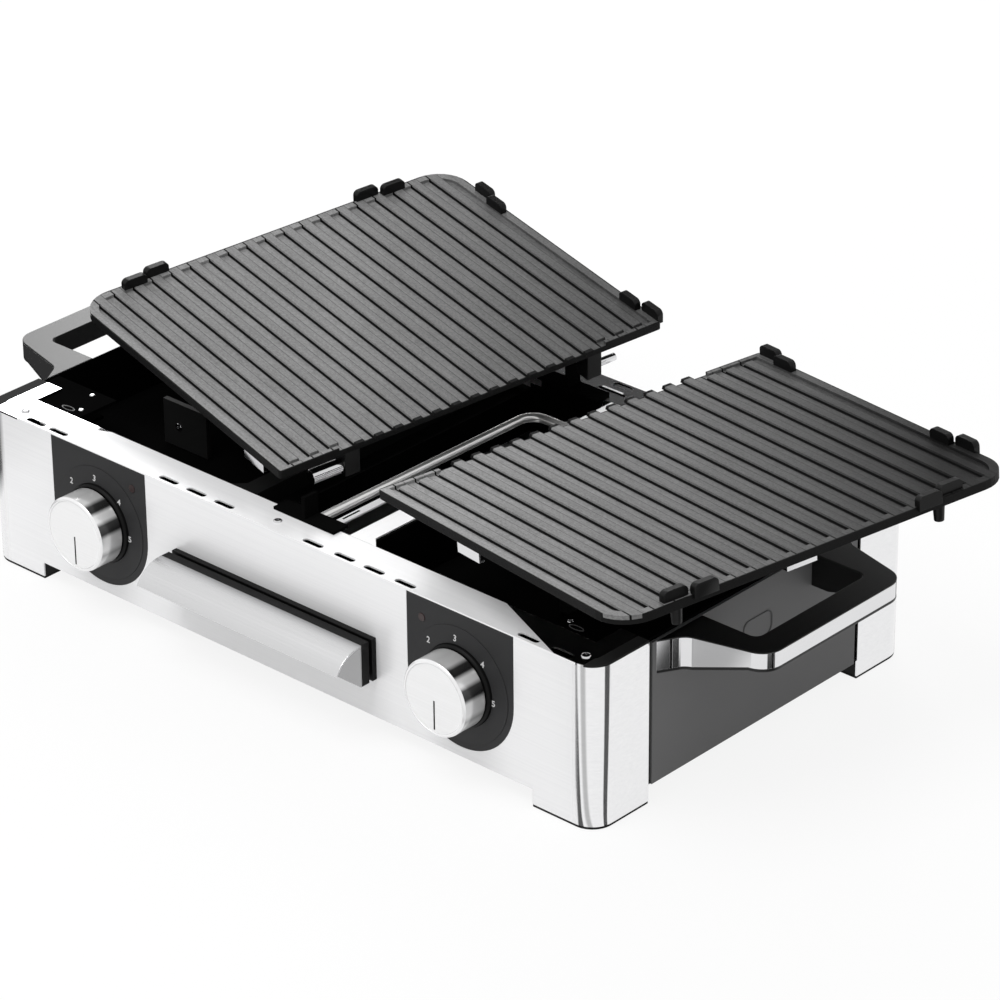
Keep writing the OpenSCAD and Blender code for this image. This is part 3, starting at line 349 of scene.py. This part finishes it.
def makeCastCoat(name, values, stand):
    s = Shader(name)
    own = s.placed(stand["place"], stand["turn"])
    across, along, up = s.part(own, "Y") * 1000, s.part(own, "X") * 1000, s.part(own, "Z") * 1000
    # Ribs are counted from far outside, so that each cell's middle is a rib's middle
    cells = across / values["pitch"] + 100.5
    phase = (cells - cells.maths("FLOOR") - 0.5) * values["pitch"]
    inside = (across.maths("ABSOLUTE") < values["ribbed"]) * (up > values["deep"])
    rib = 1 - phase.maths("ABSOLUTE").band(*values["flank"])
    # Painted shade: foot is a dark line at the foot of each rib's front flank, line a thinner one just
    # behind each rib
    foot = phase.band(*values["foot"])
    line = phase.band(*values["line"]) * values["lineShare"]
    scored = s.streaks(own, values["scores"], 4, 0.75)
    grain = s.streaks(own, values["grain"], 5, 0.8)
    cloud = s.noise(own, values["cloud"], 3)
    marks = grain * values["mix"][0] + scored * values["mix"][1] + cloud * values["mix"][2]
    marks = s.between(marks.clamp(), *values["spread"]).clamp()
    # Painted sheen: each plate's tone fades from bright to dull along the toward direction, between the ends
    # of its reach
    away = s.node("ShaderNodeVectorMath", {"operation": "DOT_PRODUCT"},
                  {0: s.coordinates(), 1: values["toward"]}, 1)
    low, high = stand["reach"]
    bright, dull = stand["tone"]
    paintedSheen = s.colour(((away - low) / (high - low)).clamp(), (bright,) * 3, (dull,) * 3)
    strength = s.between(marks, *values["strength"]) * s.between(rib * inside, 1.0, values["ribShare"])
    plain = s.node("ShaderNodeMix", {"data_type": "RGBA", "blend_type": "MULTIPLY"},
                   {0: 1.0, 6: paintedSheen, 7: strength}, 2)
    plain = s.over((foot.maths("MAXIMUM", line) * inside).clamp(), plain, values["black"])
    edges = (along.maths("ABSOLUTE") > values["side"]).maths(
        "MAXIMUM", across.maths("ABSOLUTE") > values["end"]).maths("MAXIMUM", up < values["under"])
    return s.finish({
        "Base Color": s.over(edges, plain, values["edge"]),
        "Roughness": s.between(grain, *values["rough"]),
        "Specular IOR Level": values["gloss"],
        "Normal": s.bump(grain, values["lift"], values["depth"]),
    })


# Heated tube: a faint straw tint in patches
tubeMetal = {"cool": (0.9, 0.9, 0.9), "warm": (0.82, 0.81, 0.79), "rough": (0.14, 0.22), "metal": 0.7,
             "patch": 25.0, "grain": 90.0}


def makeTubeMetal(name, values):
    s = Shader(name)
    patch = s.noise(s.coordinates(), values["patch"], 3)
    return s.finish({
        "Base Color": s.colour(patch, values["cool"], values["warm"]),
        "Metallic": values["metal"],
        "Roughness": s.between(s.noise(s.coordinates(), values["grain"], 2), *values["rough"]),
    })


# Frame down the middle: left half painted black as shade and dark reflection under the left plate, bare
# sheet on the right
frameSheet = {"split": 0.0, "coat": (0.003, 0.003, 0.003), "metal": 0.15, "streaks": (200, 8, 260),
              "rough": (0.3, 0.6), "gloss": 0.1}


def makeFrameSheet(name, values, sheet):
    s = Shader(name)
    mark = s.streaks(s.coordinates(), values["streaks"], 3)
    # Painted shade: black on the left half
    paintedShadeHalf = s.part(s.coordinates(), "X") < values["split"]
    return s.finish({
        "Base Color": s.over(paintedShadeHalf, s.colour(mark, sheet["dull"], sheet["pale"]), values["coat"]),
        "Metallic": (1 - paintedShadeHalf) * values["metal"],
        "Roughness": s.between(paintedShadeHalf, *values["rough"]),
        "Specular IOR Level": values["gloss"],
    })


# Pilot lamp: dark red glass, almost black when unlit
lensGlass = {"deep": (0.012, 0.004, 0.004), "edge": (0.035, 0.012, 0.011), "spots": 900.0,
             "rough": (0.25, 0.4), "coat": 0.15}


def makeLensGlass(name, values):
    s = Shader(name)
    spots = s.noise(s.coordinates(), values["spots"], 2)
    return s.finish({
        "Base Color": s.colour(spots, values["deep"], values["edge"]),
        "Roughness": s.between(spots, *values["rough"]),
        "Coat Weight": values["coat"],
    })


finishes = {
    "sheet": makeShellSheet("brushedSheet", satinSteel, shell),
    # Pull: its shade is a painted shadow and dark reflection, darkest where the pull meets the tray's front
    "pull": makeSatinSteel("pullSheet", {**satinSteel, "pale": (0.8, 0.8, 0.805), "dull": (0.74, 0.74, 0.75),
                                         "metal": 0.85, "lift": 0.03, "shade": (-0.1860, -0.1745, 0.6)}),
    "frame": makeFrameSheet("frameSheet", frameSheet, satinSteel),
    "rim": makePaintedReflectionRim("paintedReflectionRim", paintedReflectionRim),
    "inner": makeSatinSteel("innerSheet", {**satinSteel, "streaks": (200, 8, 260), "metal": 1,
                                           "pale": (0.8, 0.8, 0.8), "dull": (0.7, 0.7, 0.7),
                                           "rough": (0.12, 0.22)}),
    "tray": makeSatinSteel("traySheet", {**satinSteel, "streaks": (200, 8, 260), "metal": 0.75,
                                         "pale": (0.78, 0.78, 0.785), "dull": (0.7, 0.7, 0.71),
                                         "rough": (0.38, 0.5)}),
    "part": makeGrained("darkPlastic", partPlastic),
    "box": makeGrained("springBoxPaint", boxPaint),
    "face": makeSatinSteel("knobFaceSpun", {**satinSteel, "dull": (0.88, 0.88, 0.88), "lift": 0.02}),
    "bright": makeBrightSteel("polishedSteel", brightSteel),
    "panel": makeGrained("controlPanelPaint", panelPaint),
    "end": makeGrained("endPanelPaint", endPaint),
    "handle": makeGrained("handlePlastic", handlePlastic),
    "enamel": makeGrained("blackEnamel", blackEnamel),
    "lug": makeGrained("lugPlastic", lugPlastic),
    "rubber": makeGrained("padRubber", padRubber),
    "ceramic": makeGrained("insulatorBody", blockCeramic),
    "digit": makeGrained("dialPaint", digitPaint),
    "castLeft": makeCastCoat("coatedCastingLeft", castCoat, castCoat["left"]),
    "castRight": makeCastCoat("coatedCastingRight", castCoat, castCoat["right"]),
    "tube": makeTubeMetal("heatedTube", tubeMetal),
    "lens": makeLensGlass("pilotGlass", lensGlass),
}
print("finishes made:", len(finishes))

# Which finish each CAD piece wears, and how far its edges are eased, in metres
dressed = {
    "sheet": {"front_shell": 0.0004, "rear_shell": 0.0004},
    "pull": {"tray_pull": 0.0002},
    "frame": {"centre_frame": 0.0002},
    "rim": {"knob_left": 0.0004, "knob_right": 0.0004},
    "tray": {"drip_tray": 0.0003},
    "inner": {"heater_clamps": 0, "tray_rails": 0, "spindle_left": 0, "spindle_right": 0},
    "face": {"knob_face_left": 0.0002, "knob_face_right": 0.0002},
    "bright": {"handle_band_left": 0.0003, "handle_band_right": 0.0003, "hook_pins_left": 0.0003,
               "hook_pins_right": 0.0003, "base_screws": 0, "flange_screws": 0},
    "panel": {"control_panel_left": 0.0002, "control_panel_right": 0.0002, "dial_ring_left": 0,
              "dial_ring_right": 0},
    "end": {"side_panel_left": 0.0003, "side_panel_right": 0.0003},
    "handle": {"handle_left": 0.0007, "handle_right": 0.0007},
    "part": {"tray_front": 0.0003, "tray_slot_trim": 0.0003, "bezel_left": 0.0003, "bezel_right": 0.0003,
             "knob_hub_left": 0.0003, "knob_hub_right": 0.0003, "knob_pointer_left": 0,
             "knob_pointer_right": 0, "cable_gland": 0.0005, "foot_blocks": 0.0003},
    "enamel": {"base_pan": 0, "tub_left": 0, "tub_right": 0, "fat_channel": 0,
               "bridge_clips": 0.0003, "leg_seats": 0.0003},
    "lug": {"windshield_lugs_left": 0.0005, "windshield_lugs_right": 0.0005,
            "hook_ears_left": 0.0005, "hook_ears_right": 0.0005, "plate_legs_left": 0.0004,
            "plate_legs_right": 0.0004},
    "rubber": {"foot_pads": 0.0003},
    "ceramic": {"terminal_block": 0.0003, "thermostat_left": 0.0003, "thermostat_right": 0.0003},
    "castLeft": {"grill_plate_left": 0.0004},
    "castRight": {"grill_plate_right": 0.0004},
    "tube": {"heater_left": 0, "heater_right": 0},
    "lens": {"pilot_lens_left": 0.0003, "pilot_lens_right": 0.0003},
}

# How loose triangles are joined, flat faces merged and sharp edges found, in metres and degrees
easing = {"weld": 0.000005, "flat": 0.4, "sharp": 35, "segments": 2}


def easeEdges(obj, width):
    weld = obj.modifiers.new("join", "WELD")
    weld.merge_threshold = easing["weld"]
    flat = obj.modifiers.new("flatten", "DECIMATE")
    flat.decimate_type = "DISSOLVE"
    flat.angle_limit = math.radians(easing["flat"])
    bevel = obj.modifiers.new("ease", "BEVEL")
    bevel.width = width
    bevel.segments = easing["segments"]
    bevel.limit_method = "ANGLE"
    bevel.angle_limit = math.radians(easing["sharp"])
    bevel.harden_normals = False


def dressNodes():
    seen = set()
    for finish, pieces in dressed.items():
        for name, width in pieces.items():
            obj = nodes[name]
            obj.data.materials.clear()
            obj.data.materials.append(finishes[finish])
            if width:
                easeEdges(obj, width)
            seen.add(name)
    missing = set(nodes) - seen
    assert not missing, missing


dressNodes()
print("CAD pieces dressed")


def addMesh(name, mesh, finish, body):
    obj = addObject(name, mesh)
    mesh.materials.clear()
    mesh.materials.append(finishes[finish])
    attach(obj, body)
    return obj


# Turns a finished BMesh into a mesh whose faces point outwards
def closed(bm, name):
    bmesh.ops.recalc_face_normals(bm, faces=bm.faces)
    mesh = bpy.data.meshes.new(name)
    bm.to_mesh(mesh)
    bm.free()
    return mesh


# Points of a unit circle
def circle(sides):
    return [(math.cos(a), math.sin(a)) for a in (2 * math.pi * i / sides for i in range(sides))]


# Side faces between closed rings of vertices, each ring to the next
def bridge(bm, rings):
    for low, high in zip(rings, rings[1:]):
        for i in range(len(low)):
            k = (i + 1) % len(low)
            bm.faces.new((low[i], low[k], high[k], high[i]))


def boxInto(bm, x, y, z):
    for v in bmesh.ops.create_cube(bm, size=1)["verts"]:
        v.co = Vector([(low + high) / 2 + c * (high - low) for c, (low, high) in zip(v.co, (x, y, z))])


def mirrored(side, ends):
    return sorted(side * v for v in ends)


# A new mesh of what an object shows, and the object removed
def baked(obj):
    bpy.context.view_layer.update()
    mesh = bpy.data.meshes.new_from_object(obj.evaluated_get(bpy.context.evaluated_depsgraph_get()))
    bpy.data.objects.remove(obj)
    return mesh


# Numbers round each dial, laid on its sloping ring
dial = {"centre": (0.1694, -0.1605, 0.0672), "shift": -0.0032, "radius": 0.0336, "height": 0.0043,
        "capShare": 0.7, "weight": 0.00012, "thick": 0.00012,
        "ringIn": 0.0295, "ringOut": 0.042, "ringHigh": 0.0014, "ringLow": 0.0004,
        "places": {"0": 270, "1": 180, "2": 135, "3": 90, "4": 44, "5": -4}}


def ringHeight(r):
    share = min(max((r - dial["ringIn"]) / (dial["ringOut"] - dial["ringIn"]), 0), 1)
    return dial["ringHigh"] + (dial["ringLow"] - dial["ringHigh"]) * share


def makeDigit(letter, angle):
    curve = bpy.data.curves.new("digit" + letter, "FONT")
    curve.body = letter
    curve.size = dial["height"] / dial["capShare"]
    curve.align_x = "CENTER"
    curve.align_y = "CENTER"
    curve.offset = dial["weight"]
    curve.extrude = dial["thick"]
    mesh = baked(addObject("digit" + letter, curve))
    across = dial["radius"] * math.cos(math.radians(angle))
    up = dial["radius"] * math.sin(math.radians(angle))
    xs, ys = [v.co.x for v in mesh.vertices], [v.co.y for v in mesh.vertices]
    middle = ((min(xs) + max(xs)) / 2, (min(ys) + max(ys)) / 2)
    for v in mesh.vertices:
        x, y = v.co.x - middle[0] + across, v.co.y - middle[1] + up
        v.co = (x, y, v.co.z + ringHeight(math.hypot(x + dial["shift"], y)))
    return mesh


def makeDials():
    x, y, z = dial["centre"]
    for side, word in ((-1, "left"), (1, "right")):
        bm = bmesh.new()
        for letter, angle in dial["places"].items():
            bm.from_mesh(makeDigit(letter, angle))
        for v in bm.verts:
            v.co = Vector((side * x + v.co.x + dial["shift"], y - v.co.z, z + v.co.y))
        name = "dialNumbers_" + word
        addMesh(name, closed(bm, name), "digit", "base")


makeDials()
print("dial numbers made")


# Screw head with a cross recess, and the places of the flange's screws; shares are of radius and height
flangeScrew = {"radius": 0.0032, "height": 0.0013, "recess": 0.0021, "recessWidth": 0.0007, "sides": 24,
               "profile": [(1, 0), (1, 0.35), (0.9, 0.72), (0.65, 0.94)], "recessFloor": (0.8, 0.35),
               "places": [(-0.2541, -0.1495), (-0.0057, -0.1495), (0.2684, -0.1495),
                          (-0.2541, 0.1495), (-0.0057, 0.1495), (0.2684, 0.1495)],
               "level": 0.121, "turn": 1.5, "seed": 4}


def screwHead():
    bm = bmesh.new()
    r, h, sides = flangeScrew["radius"], flangeScrew["height"], flangeScrew["sides"]
    rings = [[bm.verts.new((r * a * x, r * a * y, h * z)) for x, y in circle(sides)]
             for a, z in flangeScrew["profile"]]
    bridge(bm, rings)
    w, q = flangeScrew["recessWidth"] / 2, flangeScrew["recess"] / 2
    outline = []
    for k in range(4):
        turn = Matrix.Rotation(k * math.pi / 2, 2)
        outline += [turn @ Vector(p) for p in ((q, -w), (q, w), (w, w))]
    inward, deep = flangeScrew["recessFloor"]
    top = [bm.verts.new((p.x, p.y, h)) for p in outline]
    floor = [bm.verts.new((p.x * inward, p.y * inward, h * deep)) for p in outline]
    bridge(bm, [floor, top])
    bm.faces.new(floor)
    # Two points of the outer ring to each point of the recess
    last, count = rings[-1], len(top)
    for i in range(count):
        a, b, c = last[(2 * i - 1) % sides], last[2 * i], last[2 * i + 1]
        bm.faces.new((a, b, top[i]))
        bm.faces.new((b, c, top[i]))
        bm.faces.new((top[i], c, top[(i + 1) % count]))
    bm.faces.new(list(reversed(rings[0])))
    return closed(bm, "screwHead")


# Geometry Nodes: a piece set on each point, turned at random up to a limit, with its finish
def scatterTree(name, material):
    tree = bpy.data.node_groups.new(name, "GeometryNodeTree")
    for label, kind in (("Places", "Geometry"), ("Piece", "Object"), ("Size", "Float"), ("Turn", "Float")):
        tree.interface.new_socket(label, in_out="INPUT", socket_type="NodeSocket" + kind)
    tree.interface.new_socket("Result", in_out="OUTPUT", socket_type="NodeSocketGeometry")
    add, link = tree.nodes.new, tree.links.new
    into, out = add("NodeGroupInput"), add("NodeGroupOutput")
    points, info = add("GeometryNodeMeshToPoints"), add("GeometryNodeObjectInfo")
    random, spin = add("FunctionNodeRandomValue"), add("ShaderNodeCombineXYZ")
    place, real = add("GeometryNodeInstanceOnPoints"), add("GeometryNodeRealizeInstances")
    paint = add("GeometryNodeSetMaterial")
    random.data_type = "FLOAT"
    random.inputs["Seed"].default_value = flangeScrew["seed"]
    paint.inputs["Material"].default_value = material
    link(into.outputs["Places"], points.inputs["Mesh"])
    link(into.outputs["Piece"], info.inputs["Object"])
    link(into.outputs["Turn"], random.inputs[3])
    link(random.outputs[1], spin.inputs["Z"])
    link(points.outputs["Points"], place.inputs["Points"])
    link(info.outputs["Geometry"], place.inputs["Instance"])
    link(spin.outputs[0], place.inputs["Rotation"])
    link(into.outputs["Size"], place.inputs["Scale"])
    link(place.outputs["Instances"], real.inputs["Geometry"])
    link(real.outputs["Geometry"], paint.inputs["Geometry"])
    link(paint.outputs["Geometry"], out.inputs["Result"])
    return tree


def scatter(name, places, finish, turn, size=1.0):
    mesh = bpy.data.meshes.new(name + "Places")
    mesh.from_pydata(places, [], [])
    holder = addObject(name + "Places", mesh)
    source = addObject(name + "Piece", screwHead())
    tree = scatterTree(name + "Tree", finishes[finish])
    modifier = holder.modifiers.new("scatter", "NODES")
    modifier.node_group = tree
    names = {item.name: item.identifier for item in tree.interface.items_tree if item.in_out == "INPUT"}
    for label, given in (("Piece", source), ("Size", size), ("Turn", turn)):
        modifier[names[label]] = given
    made = baked(holder)
    made.name = name
    bpy.data.objects.remove(source)
    return made


def makeFlangeScrews():
    places = [(x, y, flangeScrew["level"]) for x, y in flangeScrew["places"]]
    mesh = scatter("flangeScrewHeads", places, "bright", flangeScrew["turn"])
    obj = addMesh("flangeScrewHeads", mesh, "bright", "base")
    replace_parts(obj, "flange_screws")


makeFlangeScrews()
print("flange screws made")


# Small pieces in the tubs, given for the front left one and mirrored to the others
fittings = {"corner": {"x": (-0.2808, -0.2215), "y": (-0.1296, -0.0930), "z": (0.1165, 0.1190)},
            "screws": [(-0.2290, -0.1200), (-0.2400, -0.0990)], "screwSize": 0.62, "screwTurn": 1.5,
            "box": {"x": (-0.2090, -0.1660), "y": (-0.0600, -0.0560), "z": (0.0785, 0.1130)},
            "boxScrew": (-0.1940, -0.0600, 0.0947), "boxScrewSize": 0.9,
            "slot": {"at": (-0.2377, -0.1240), "long": 0.0062, "wide": 0.0024, "thick": 0.0005,
                     "inner": 0.84, "sides": 28}}
bothSides = (-1, 1)
quarters = [(m, n) for m in bothSides for n in bothSides]


# Corner brackets with their screws, and a box with a screw behind each front one
def makeFittings():
    part = fittings["corner"]
    bm = bmesh.new()
    for m, n in quarters:
        boxInto(bm, mirrored(m, part["x"]), mirrored(n, part["y"]), part["z"])
    addMesh("cornerBrackets", closed(bm, "cornerBrackets"), "enamel", "base")
    part = fittings["box"]
    bm = bmesh.new()
    for m in bothSides:
        boxInto(bm, mirrored(m, part["x"]), part["y"], part["z"])
    addMesh("springBoxes", closed(bm, "springBoxes"), "box", "base")
    x, y, z = fittings["boxScrew"]
    front = scatter("boxScrews", [(m * x, 0, 0) for m in bothSides], "bright", 0.0, fittings["boxScrewSize"])
    for v in front.vertices:
        v.co = (v.co.x, y - v.co.z, z + v.co.y)
    addMesh("boxScrews", front, "bright", "base")
    places = [(m * x, n * y, fittings["corner"]["z"][1]) for x, y in fittings["screws"] for m, n in quarters]
    heads = scatter("bracketScrews", places, "bright", fittings["screwTurn"], fittings["screwSize"])
    addMesh("bracketScrews", heads, "bright", "base")


# Raised rim of the oval slot in each corner bracket, lighter than the bracket as a painted highlight
def makeSlotRims():
    part = fittings["slot"]
    high = fittings["corner"]["z"][1]
    thick, inner = part["thick"], part["inner"]
    bm = bmesh.new()
    for m, n in quarters:
        rings = [[bm.verts.new((m * part["at"][0] + out * part["long"] * x,
                                n * part["at"][1] + out * part["wide"] * y, high + up))
                  for x, y in circle(part["sides"])]
                 for out, up in ((1, 0), (1, thick), (inner, thick), (inner, 0))]
        bridge(bm, rings + rings[:1])
    addMesh("slotRims", closed(bm, "slotRims"), "end", "base")


# Small spring strips under each plate, by its front edge and its outer edge
springs = {"thick": 0.0012, "top": -0.0058, "foot": -0.0136, "long": 0.024, "lip": 0.0042,
           "front": {"left": 0.0960, "right": -0.0330, "y": -0.1570}, "outer": {"x": 0.1235, "y": -0.0100}}


def makeSprings():
    half, foot = springs["long"] / 2, springs["foot"]
    bends = ((springs["thick"], (foot, springs["top"])), (springs["lip"], (foot - springs["thick"], foot)))
    for side, word in ((-1, "left"), (1, "right")):
        stand = castCoat[word]
        turn = Matrix.LocRotScale(Vector(stand["place"]), Euler(radians(stand["turn"])), None)
        bm = bmesh.new()
        x, y = springs["front"][word], springs["front"]["y"]
        for deep, z in bends:
            boxInto(bm, (x - half, x + half), (y, y + deep), z)
        x, y = side * springs["outer"]["x"], springs["outer"]["y"]
        for deep, z in bends:
            boxInto(bm, sorted((x, x - side * deep)), (y - half, y + half), z)
        bmesh.ops.transform(bm, matrix=turn, verts=bm.verts)
        name = "plateSprings_" + word
        addMesh(name, closed(bm, name), "bright", "plate_" + word)


# Right heating tube: the CAD tube, with its inner leg drawn again as it lies in the gutter
innerLeg = {"cut": 0.0345, "start": (0.0022, -0.1190), "foot": 0.0892, "level": 0.1130, "rise": 0.005,
            "lean": 0.0013, "bend": 0.014, "short": 0.0001, "radius": 0.0034, "sides": 24, "steps": 8}


def sweep(bm, points, radius, sides):
    rings, normal = [], Vector((1, 0, 0))
    for i, point in enumerate(points):
        along = (points[min(i + 1, len(points) - 1)] - points[max(i - 1, 0)]).normalized()
        normal = (normal - along * normal.dot(along)).normalized()
        side = along.cross(normal)
        rings.append([bm.verts.new(point + radius * (x * normal + y * side)) for x, y in circle(sides)])
    bridge(bm, rings)
    bm.faces.new(rings[0])
    bm.faces.new(rings[-1])


def makeRightHeater():
    part = innerLeg
    bm = bmesh.new()
    bm.from_mesh(nodes["heater_right"].data)
    bmesh.ops.remove_doubles(bm, verts=bm.verts, dist=easing["weld"])
    cut = bmesh.ops.bisect_plane(bm, geom=bm.verts[:] + bm.edges[:] + bm.faces[:],
                                 plane_co=(part["cut"], 0, 0), plane_no=(1, 0, 0), clear_inner=True)
    rim = [e for e in cut["geom_cut"] if isinstance(e, bmesh.types.BMEdge)]
    depths = [v.co.y for e in rim for v in e.verts]
    bmesh.ops.holes_fill(bm, edges=rim, sides=0)
    (x, y), level, rise, bend = part["start"], part["level"], part["rise"], part["bend"]
    back = (min(depths) + max(depths)) / 2
    angles = [math.pi / 2 * i / part["steps"] for i in range(1, part["steps"] + 1)]
    points = [(x, y, part["foot"]), (x, y, level - rise)]
    points += [(x, y + rise * (1 - math.cos(a)), level - rise * (1 - math.sin(a))) for a in angles]
    x += part["lean"]
    points += [(x, back - bend, level)]
    points += [(x + bend * (1 - math.cos(a)), back - bend * (1 - math.sin(a)), level) for a in angles]
    points += [(part["cut"] - part["short"], back, level)]
    sweep(bm, [Vector(p) for p in points], part["radius"], part["sides"])
    mesh = closed(bm, "rightHeater")
    mesh.shade_smooth()
    mesh.set_sharp_from_angle(angle=math.radians(easing["sharp"]))
    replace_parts(addMesh("rightHeater", mesh, "tube", "base"), "heater_right")


# Strip and slot beside the tube, and the lit edge of a slot in the back flange; the slots are thin black
# boxes of painted shade, the lit edge a thin bright box of painted highlight
gutterStrip = {"bright": [((0.0100, 0.0165), (-0.1290, -0.0640), (0.1106, 0.1118)),
                          ((0.0232, 0.0415), (0.1457, 0.1474), (0.1209, 0.1216))],
               "dark": [((0.0118, 0.0132), (-0.1060, -0.0900), (0.1118, 0.1120)),
                        ((0.0215, 0.0450), (0.1436, 0.1457), (0.1209, 0.1213))]}


def makeGutterStrip():
    for key, name, finish, slot in (("bright", "gutterStrip", "frame", "steel_inside"),
                                    ("dark", "gutterStripSlot", "enamel", "black_enamel")):
        bm = bmesh.new()
        for x, y, z in gutterStrip[key]:
            boxInto(bm, x, y, z)
        addMesh(name, closed(bm, name), finish, "base")


makeFittings()
makeSlotRims()
makeSprings()
makeRightHeater()
makeGutterStrip()
print("brackets, springs and right heating tube made")


# Latch outline on each end panel: a thin raised line round a rounded tab
latch = {"x": 0.2856, "y": (-0.0145, 0.0155), "z": (0.0760, 0.0940), "round": 0.006, "steps": 6,
         "out": 0.0003, "inner": 0.92}


def makeLatches():
    (y0, y1), (z0, z1), r = latch["y"], latch["z"], latch["round"]
    out, inner, steps = latch["out"], latch["inner"], latch["steps"]
    corners = ((y1 - r, z1 - r, 0), (y0 + r, z1 - r, 90), (y0 + r, z0 + r, 180), (y1 - r, z0 + r, 270))
    outline = []
    for y, z, start in corners:
        angles = radians(start + 90 / steps * k for k in range(steps + 1))
        outline += [(y + r * math.cos(a), z + r * math.sin(a)) for a in angles]
    middleY, middleZ = (y0 + y1) / 2, (z0 + z1) / 2
    bm = bmesh.new()
    for side in bothSides:
        rings = [[bm.verts.new((side * (latch["x"] + up), middleY + (y - middleY) * grow,
                                middleZ + (z - middleZ) * grow)) for y, z in outline]
                 for grow, up in ((1, 0), (1, out), (inner, out), (inner, 0))]
        bridge(bm, rings + rings[:1])
    addMesh("latchOutline", closed(bm, "latchOutline"), "handle", "base")


makeLatches()
print("latch outlines made")


# Table top and light; for mirrors only, dark wedges painted on the table give painted dark reflections in
# the steel: from and to in degrees, softness, share
studio = {"floorSize": 14.0, "floorLevel": -0.0003, "floor": (0.93, 0.93, 0.93), "sky": 0.70, "shown": 0.88,
          "corner": (0.280, -0.150), "wedges": [(6, 27, 3, 1), (-128, -116, 3, 1), (-97, -84, 9, 0.5)],
          "dark": 0.04, "far": -0.42, "farSoft": 0.06}


def makeFloor():
    mesh = bpy.data.meshes.new("tableTop")
    h, low = studio["floorSize"] / 2, studio["floorLevel"]
    mesh.from_pydata([(-h, -h, low), (h, -h, low), (h, h, low), (-h, h, low)], [], [(0, 1, 2, 3)])
    obj = addObject("tableTop", mesh)
    s = Shader("tableTop")
    direct = s.node("ShaderNodeLightPath", output="Is Camera Ray")
    mirror = s.node("ShaderNodeLightPath", output="Is Glossy Ray")
    x, y = s.parts()[:2]
    angle = (y - studio["corner"][1]).maths("ARCTAN2", x - studio["corner"][0]) * (180 / math.pi)
    # Painted reflection: mirrors see the table dark beyond the far line and in each wedge
    dark = (studio["far"] - x).band(0, studio["floorSize"], studio["farSoft"])
    for low, high, soft, share in studio["wedges"]:
        dark = dark.maths("MAXIMUM", angle.band(low, high, soft) * share)
    seen = 1 - dark * (1 - studio["dark"])
    plain = s.node("ShaderNodeBsdfDiffuse", None, {"Color": (*studio["floor"], 1)})
    bright = s.node("ShaderNodeEmission", None, {"Color": (1, 1, 1, 1), "Strength": 1.0})
    shaded = s.node("ShaderNodeEmission", None,
                    {"Color": s.colour(seen, (0, 0, 0), studio["floor"]), "Strength": 1.0})
    shown = s.node("ShaderNodeMixShader", None, {0: direct * studio["shown"], 1: plain, 2: bright})
    shown = s.node("ShaderNodeMixShader", None, {0: mirror, 1: shown, 2: shaded})
    s.tree.links.new(shown.socket, s.out.inputs["Surface"])
    mesh.materials.append(s.material)


# Sky: dimmer as a light than as the camera, glass and mirrors see it
def makeWorld():
    world = bpy.data.worlds.new("studio")
    scene.world = world
    world.use_nodes = True
    tree = world.node_tree
    tree.nodes.clear()
    add, link = tree.nodes.new, tree.links.new
    out, path, mix = add("ShaderNodeOutputWorld"), add("ShaderNodeLightPath"), add("ShaderNodeMixShader")
    for place, strength in ((1, studio["sky"]), (2, 1.0)):
        background = add("ShaderNodeBackground")
        background.inputs["Strength"].default_value = strength
        link(background.outputs[0], mix.inputs[place])
    seen = path.outputs["Is Camera Ray"]
    for ray in ("Is Transmission Ray", "Is Glossy Ray"):
        either = add("ShaderNodeMath")
        either.operation = "MAXIMUM"
        link(seen, either.inputs[0])
        link(path.outputs[ray], either.inputs[1])
        seen = either.outputs[0]
    link(seen, mix.inputs[0])
    link(mix.outputs[0], out.inputs["Surface"])


lamps = {
    "keyLamp": {"place": (-0.1, -1.4, 2.8), "aim": (0.05, 0, 0.1), "size": 1.6, "power": 46},
    "backLamp": {"place": (-1.7, 1.9, 1.5), "aim": (0, 0, 0.15), "size": 1.4, "power": 30},
}


def makeLamps():
    for name, given in lamps.items():
        data = bpy.data.lights.new(name, "AREA")
        data.shape = "SQUARE"
        data.size = given["size"]
        data.energy = given["power"]
        obj = addObject(name, data)
        obj.location = given["place"]
        aim = Vector(given["aim"]) - Vector(given["place"])
        obj.rotation_euler = aim.to_track_quat("-Z", "Y").to_euler()


# Black card that only mirrors see: the polished back of the flange shows it from the camera
card = {"middle": (-0.42, 0.74, 0.58), "size": (0.72, 0.44), "aim": (0.05, 0.145, 0.121)}


def makeCard():
    wide, high = card["size"][0] / 2, card["size"][1] / 2
    turn = (Vector(card["aim"]) - Vector(card["middle"])).normalized().to_track_quat("Z", "Y")
    corners = [Vector(card["middle"]) + turn @ Vector((a * wide, b * high, 0))
               for a, b in ((-1, -1), (1, -1), (1, 1), (-1, 1))]
    mesh = bpy.data.meshes.new("blackCard")
    mesh.from_pydata(corners, [], [(0, 1, 2, 3)])
    obj = addObject("blackCard", mesh)
    mesh.materials.append(Shader("blackCard").finish(
        {"Base Color": (0.01, 0.01, 0.01, 1), "Roughness": 0.9, "Specular IOR Level": 0.0}))
    obj.visible_camera = obj.visible_diffuse = obj.visible_shadow = obj.visible_transmission = False


makeFloor()
makeCard()
makeWorld()
makeLamps()
scene.view_settings.view_transform = "Standard"
print("studio made")
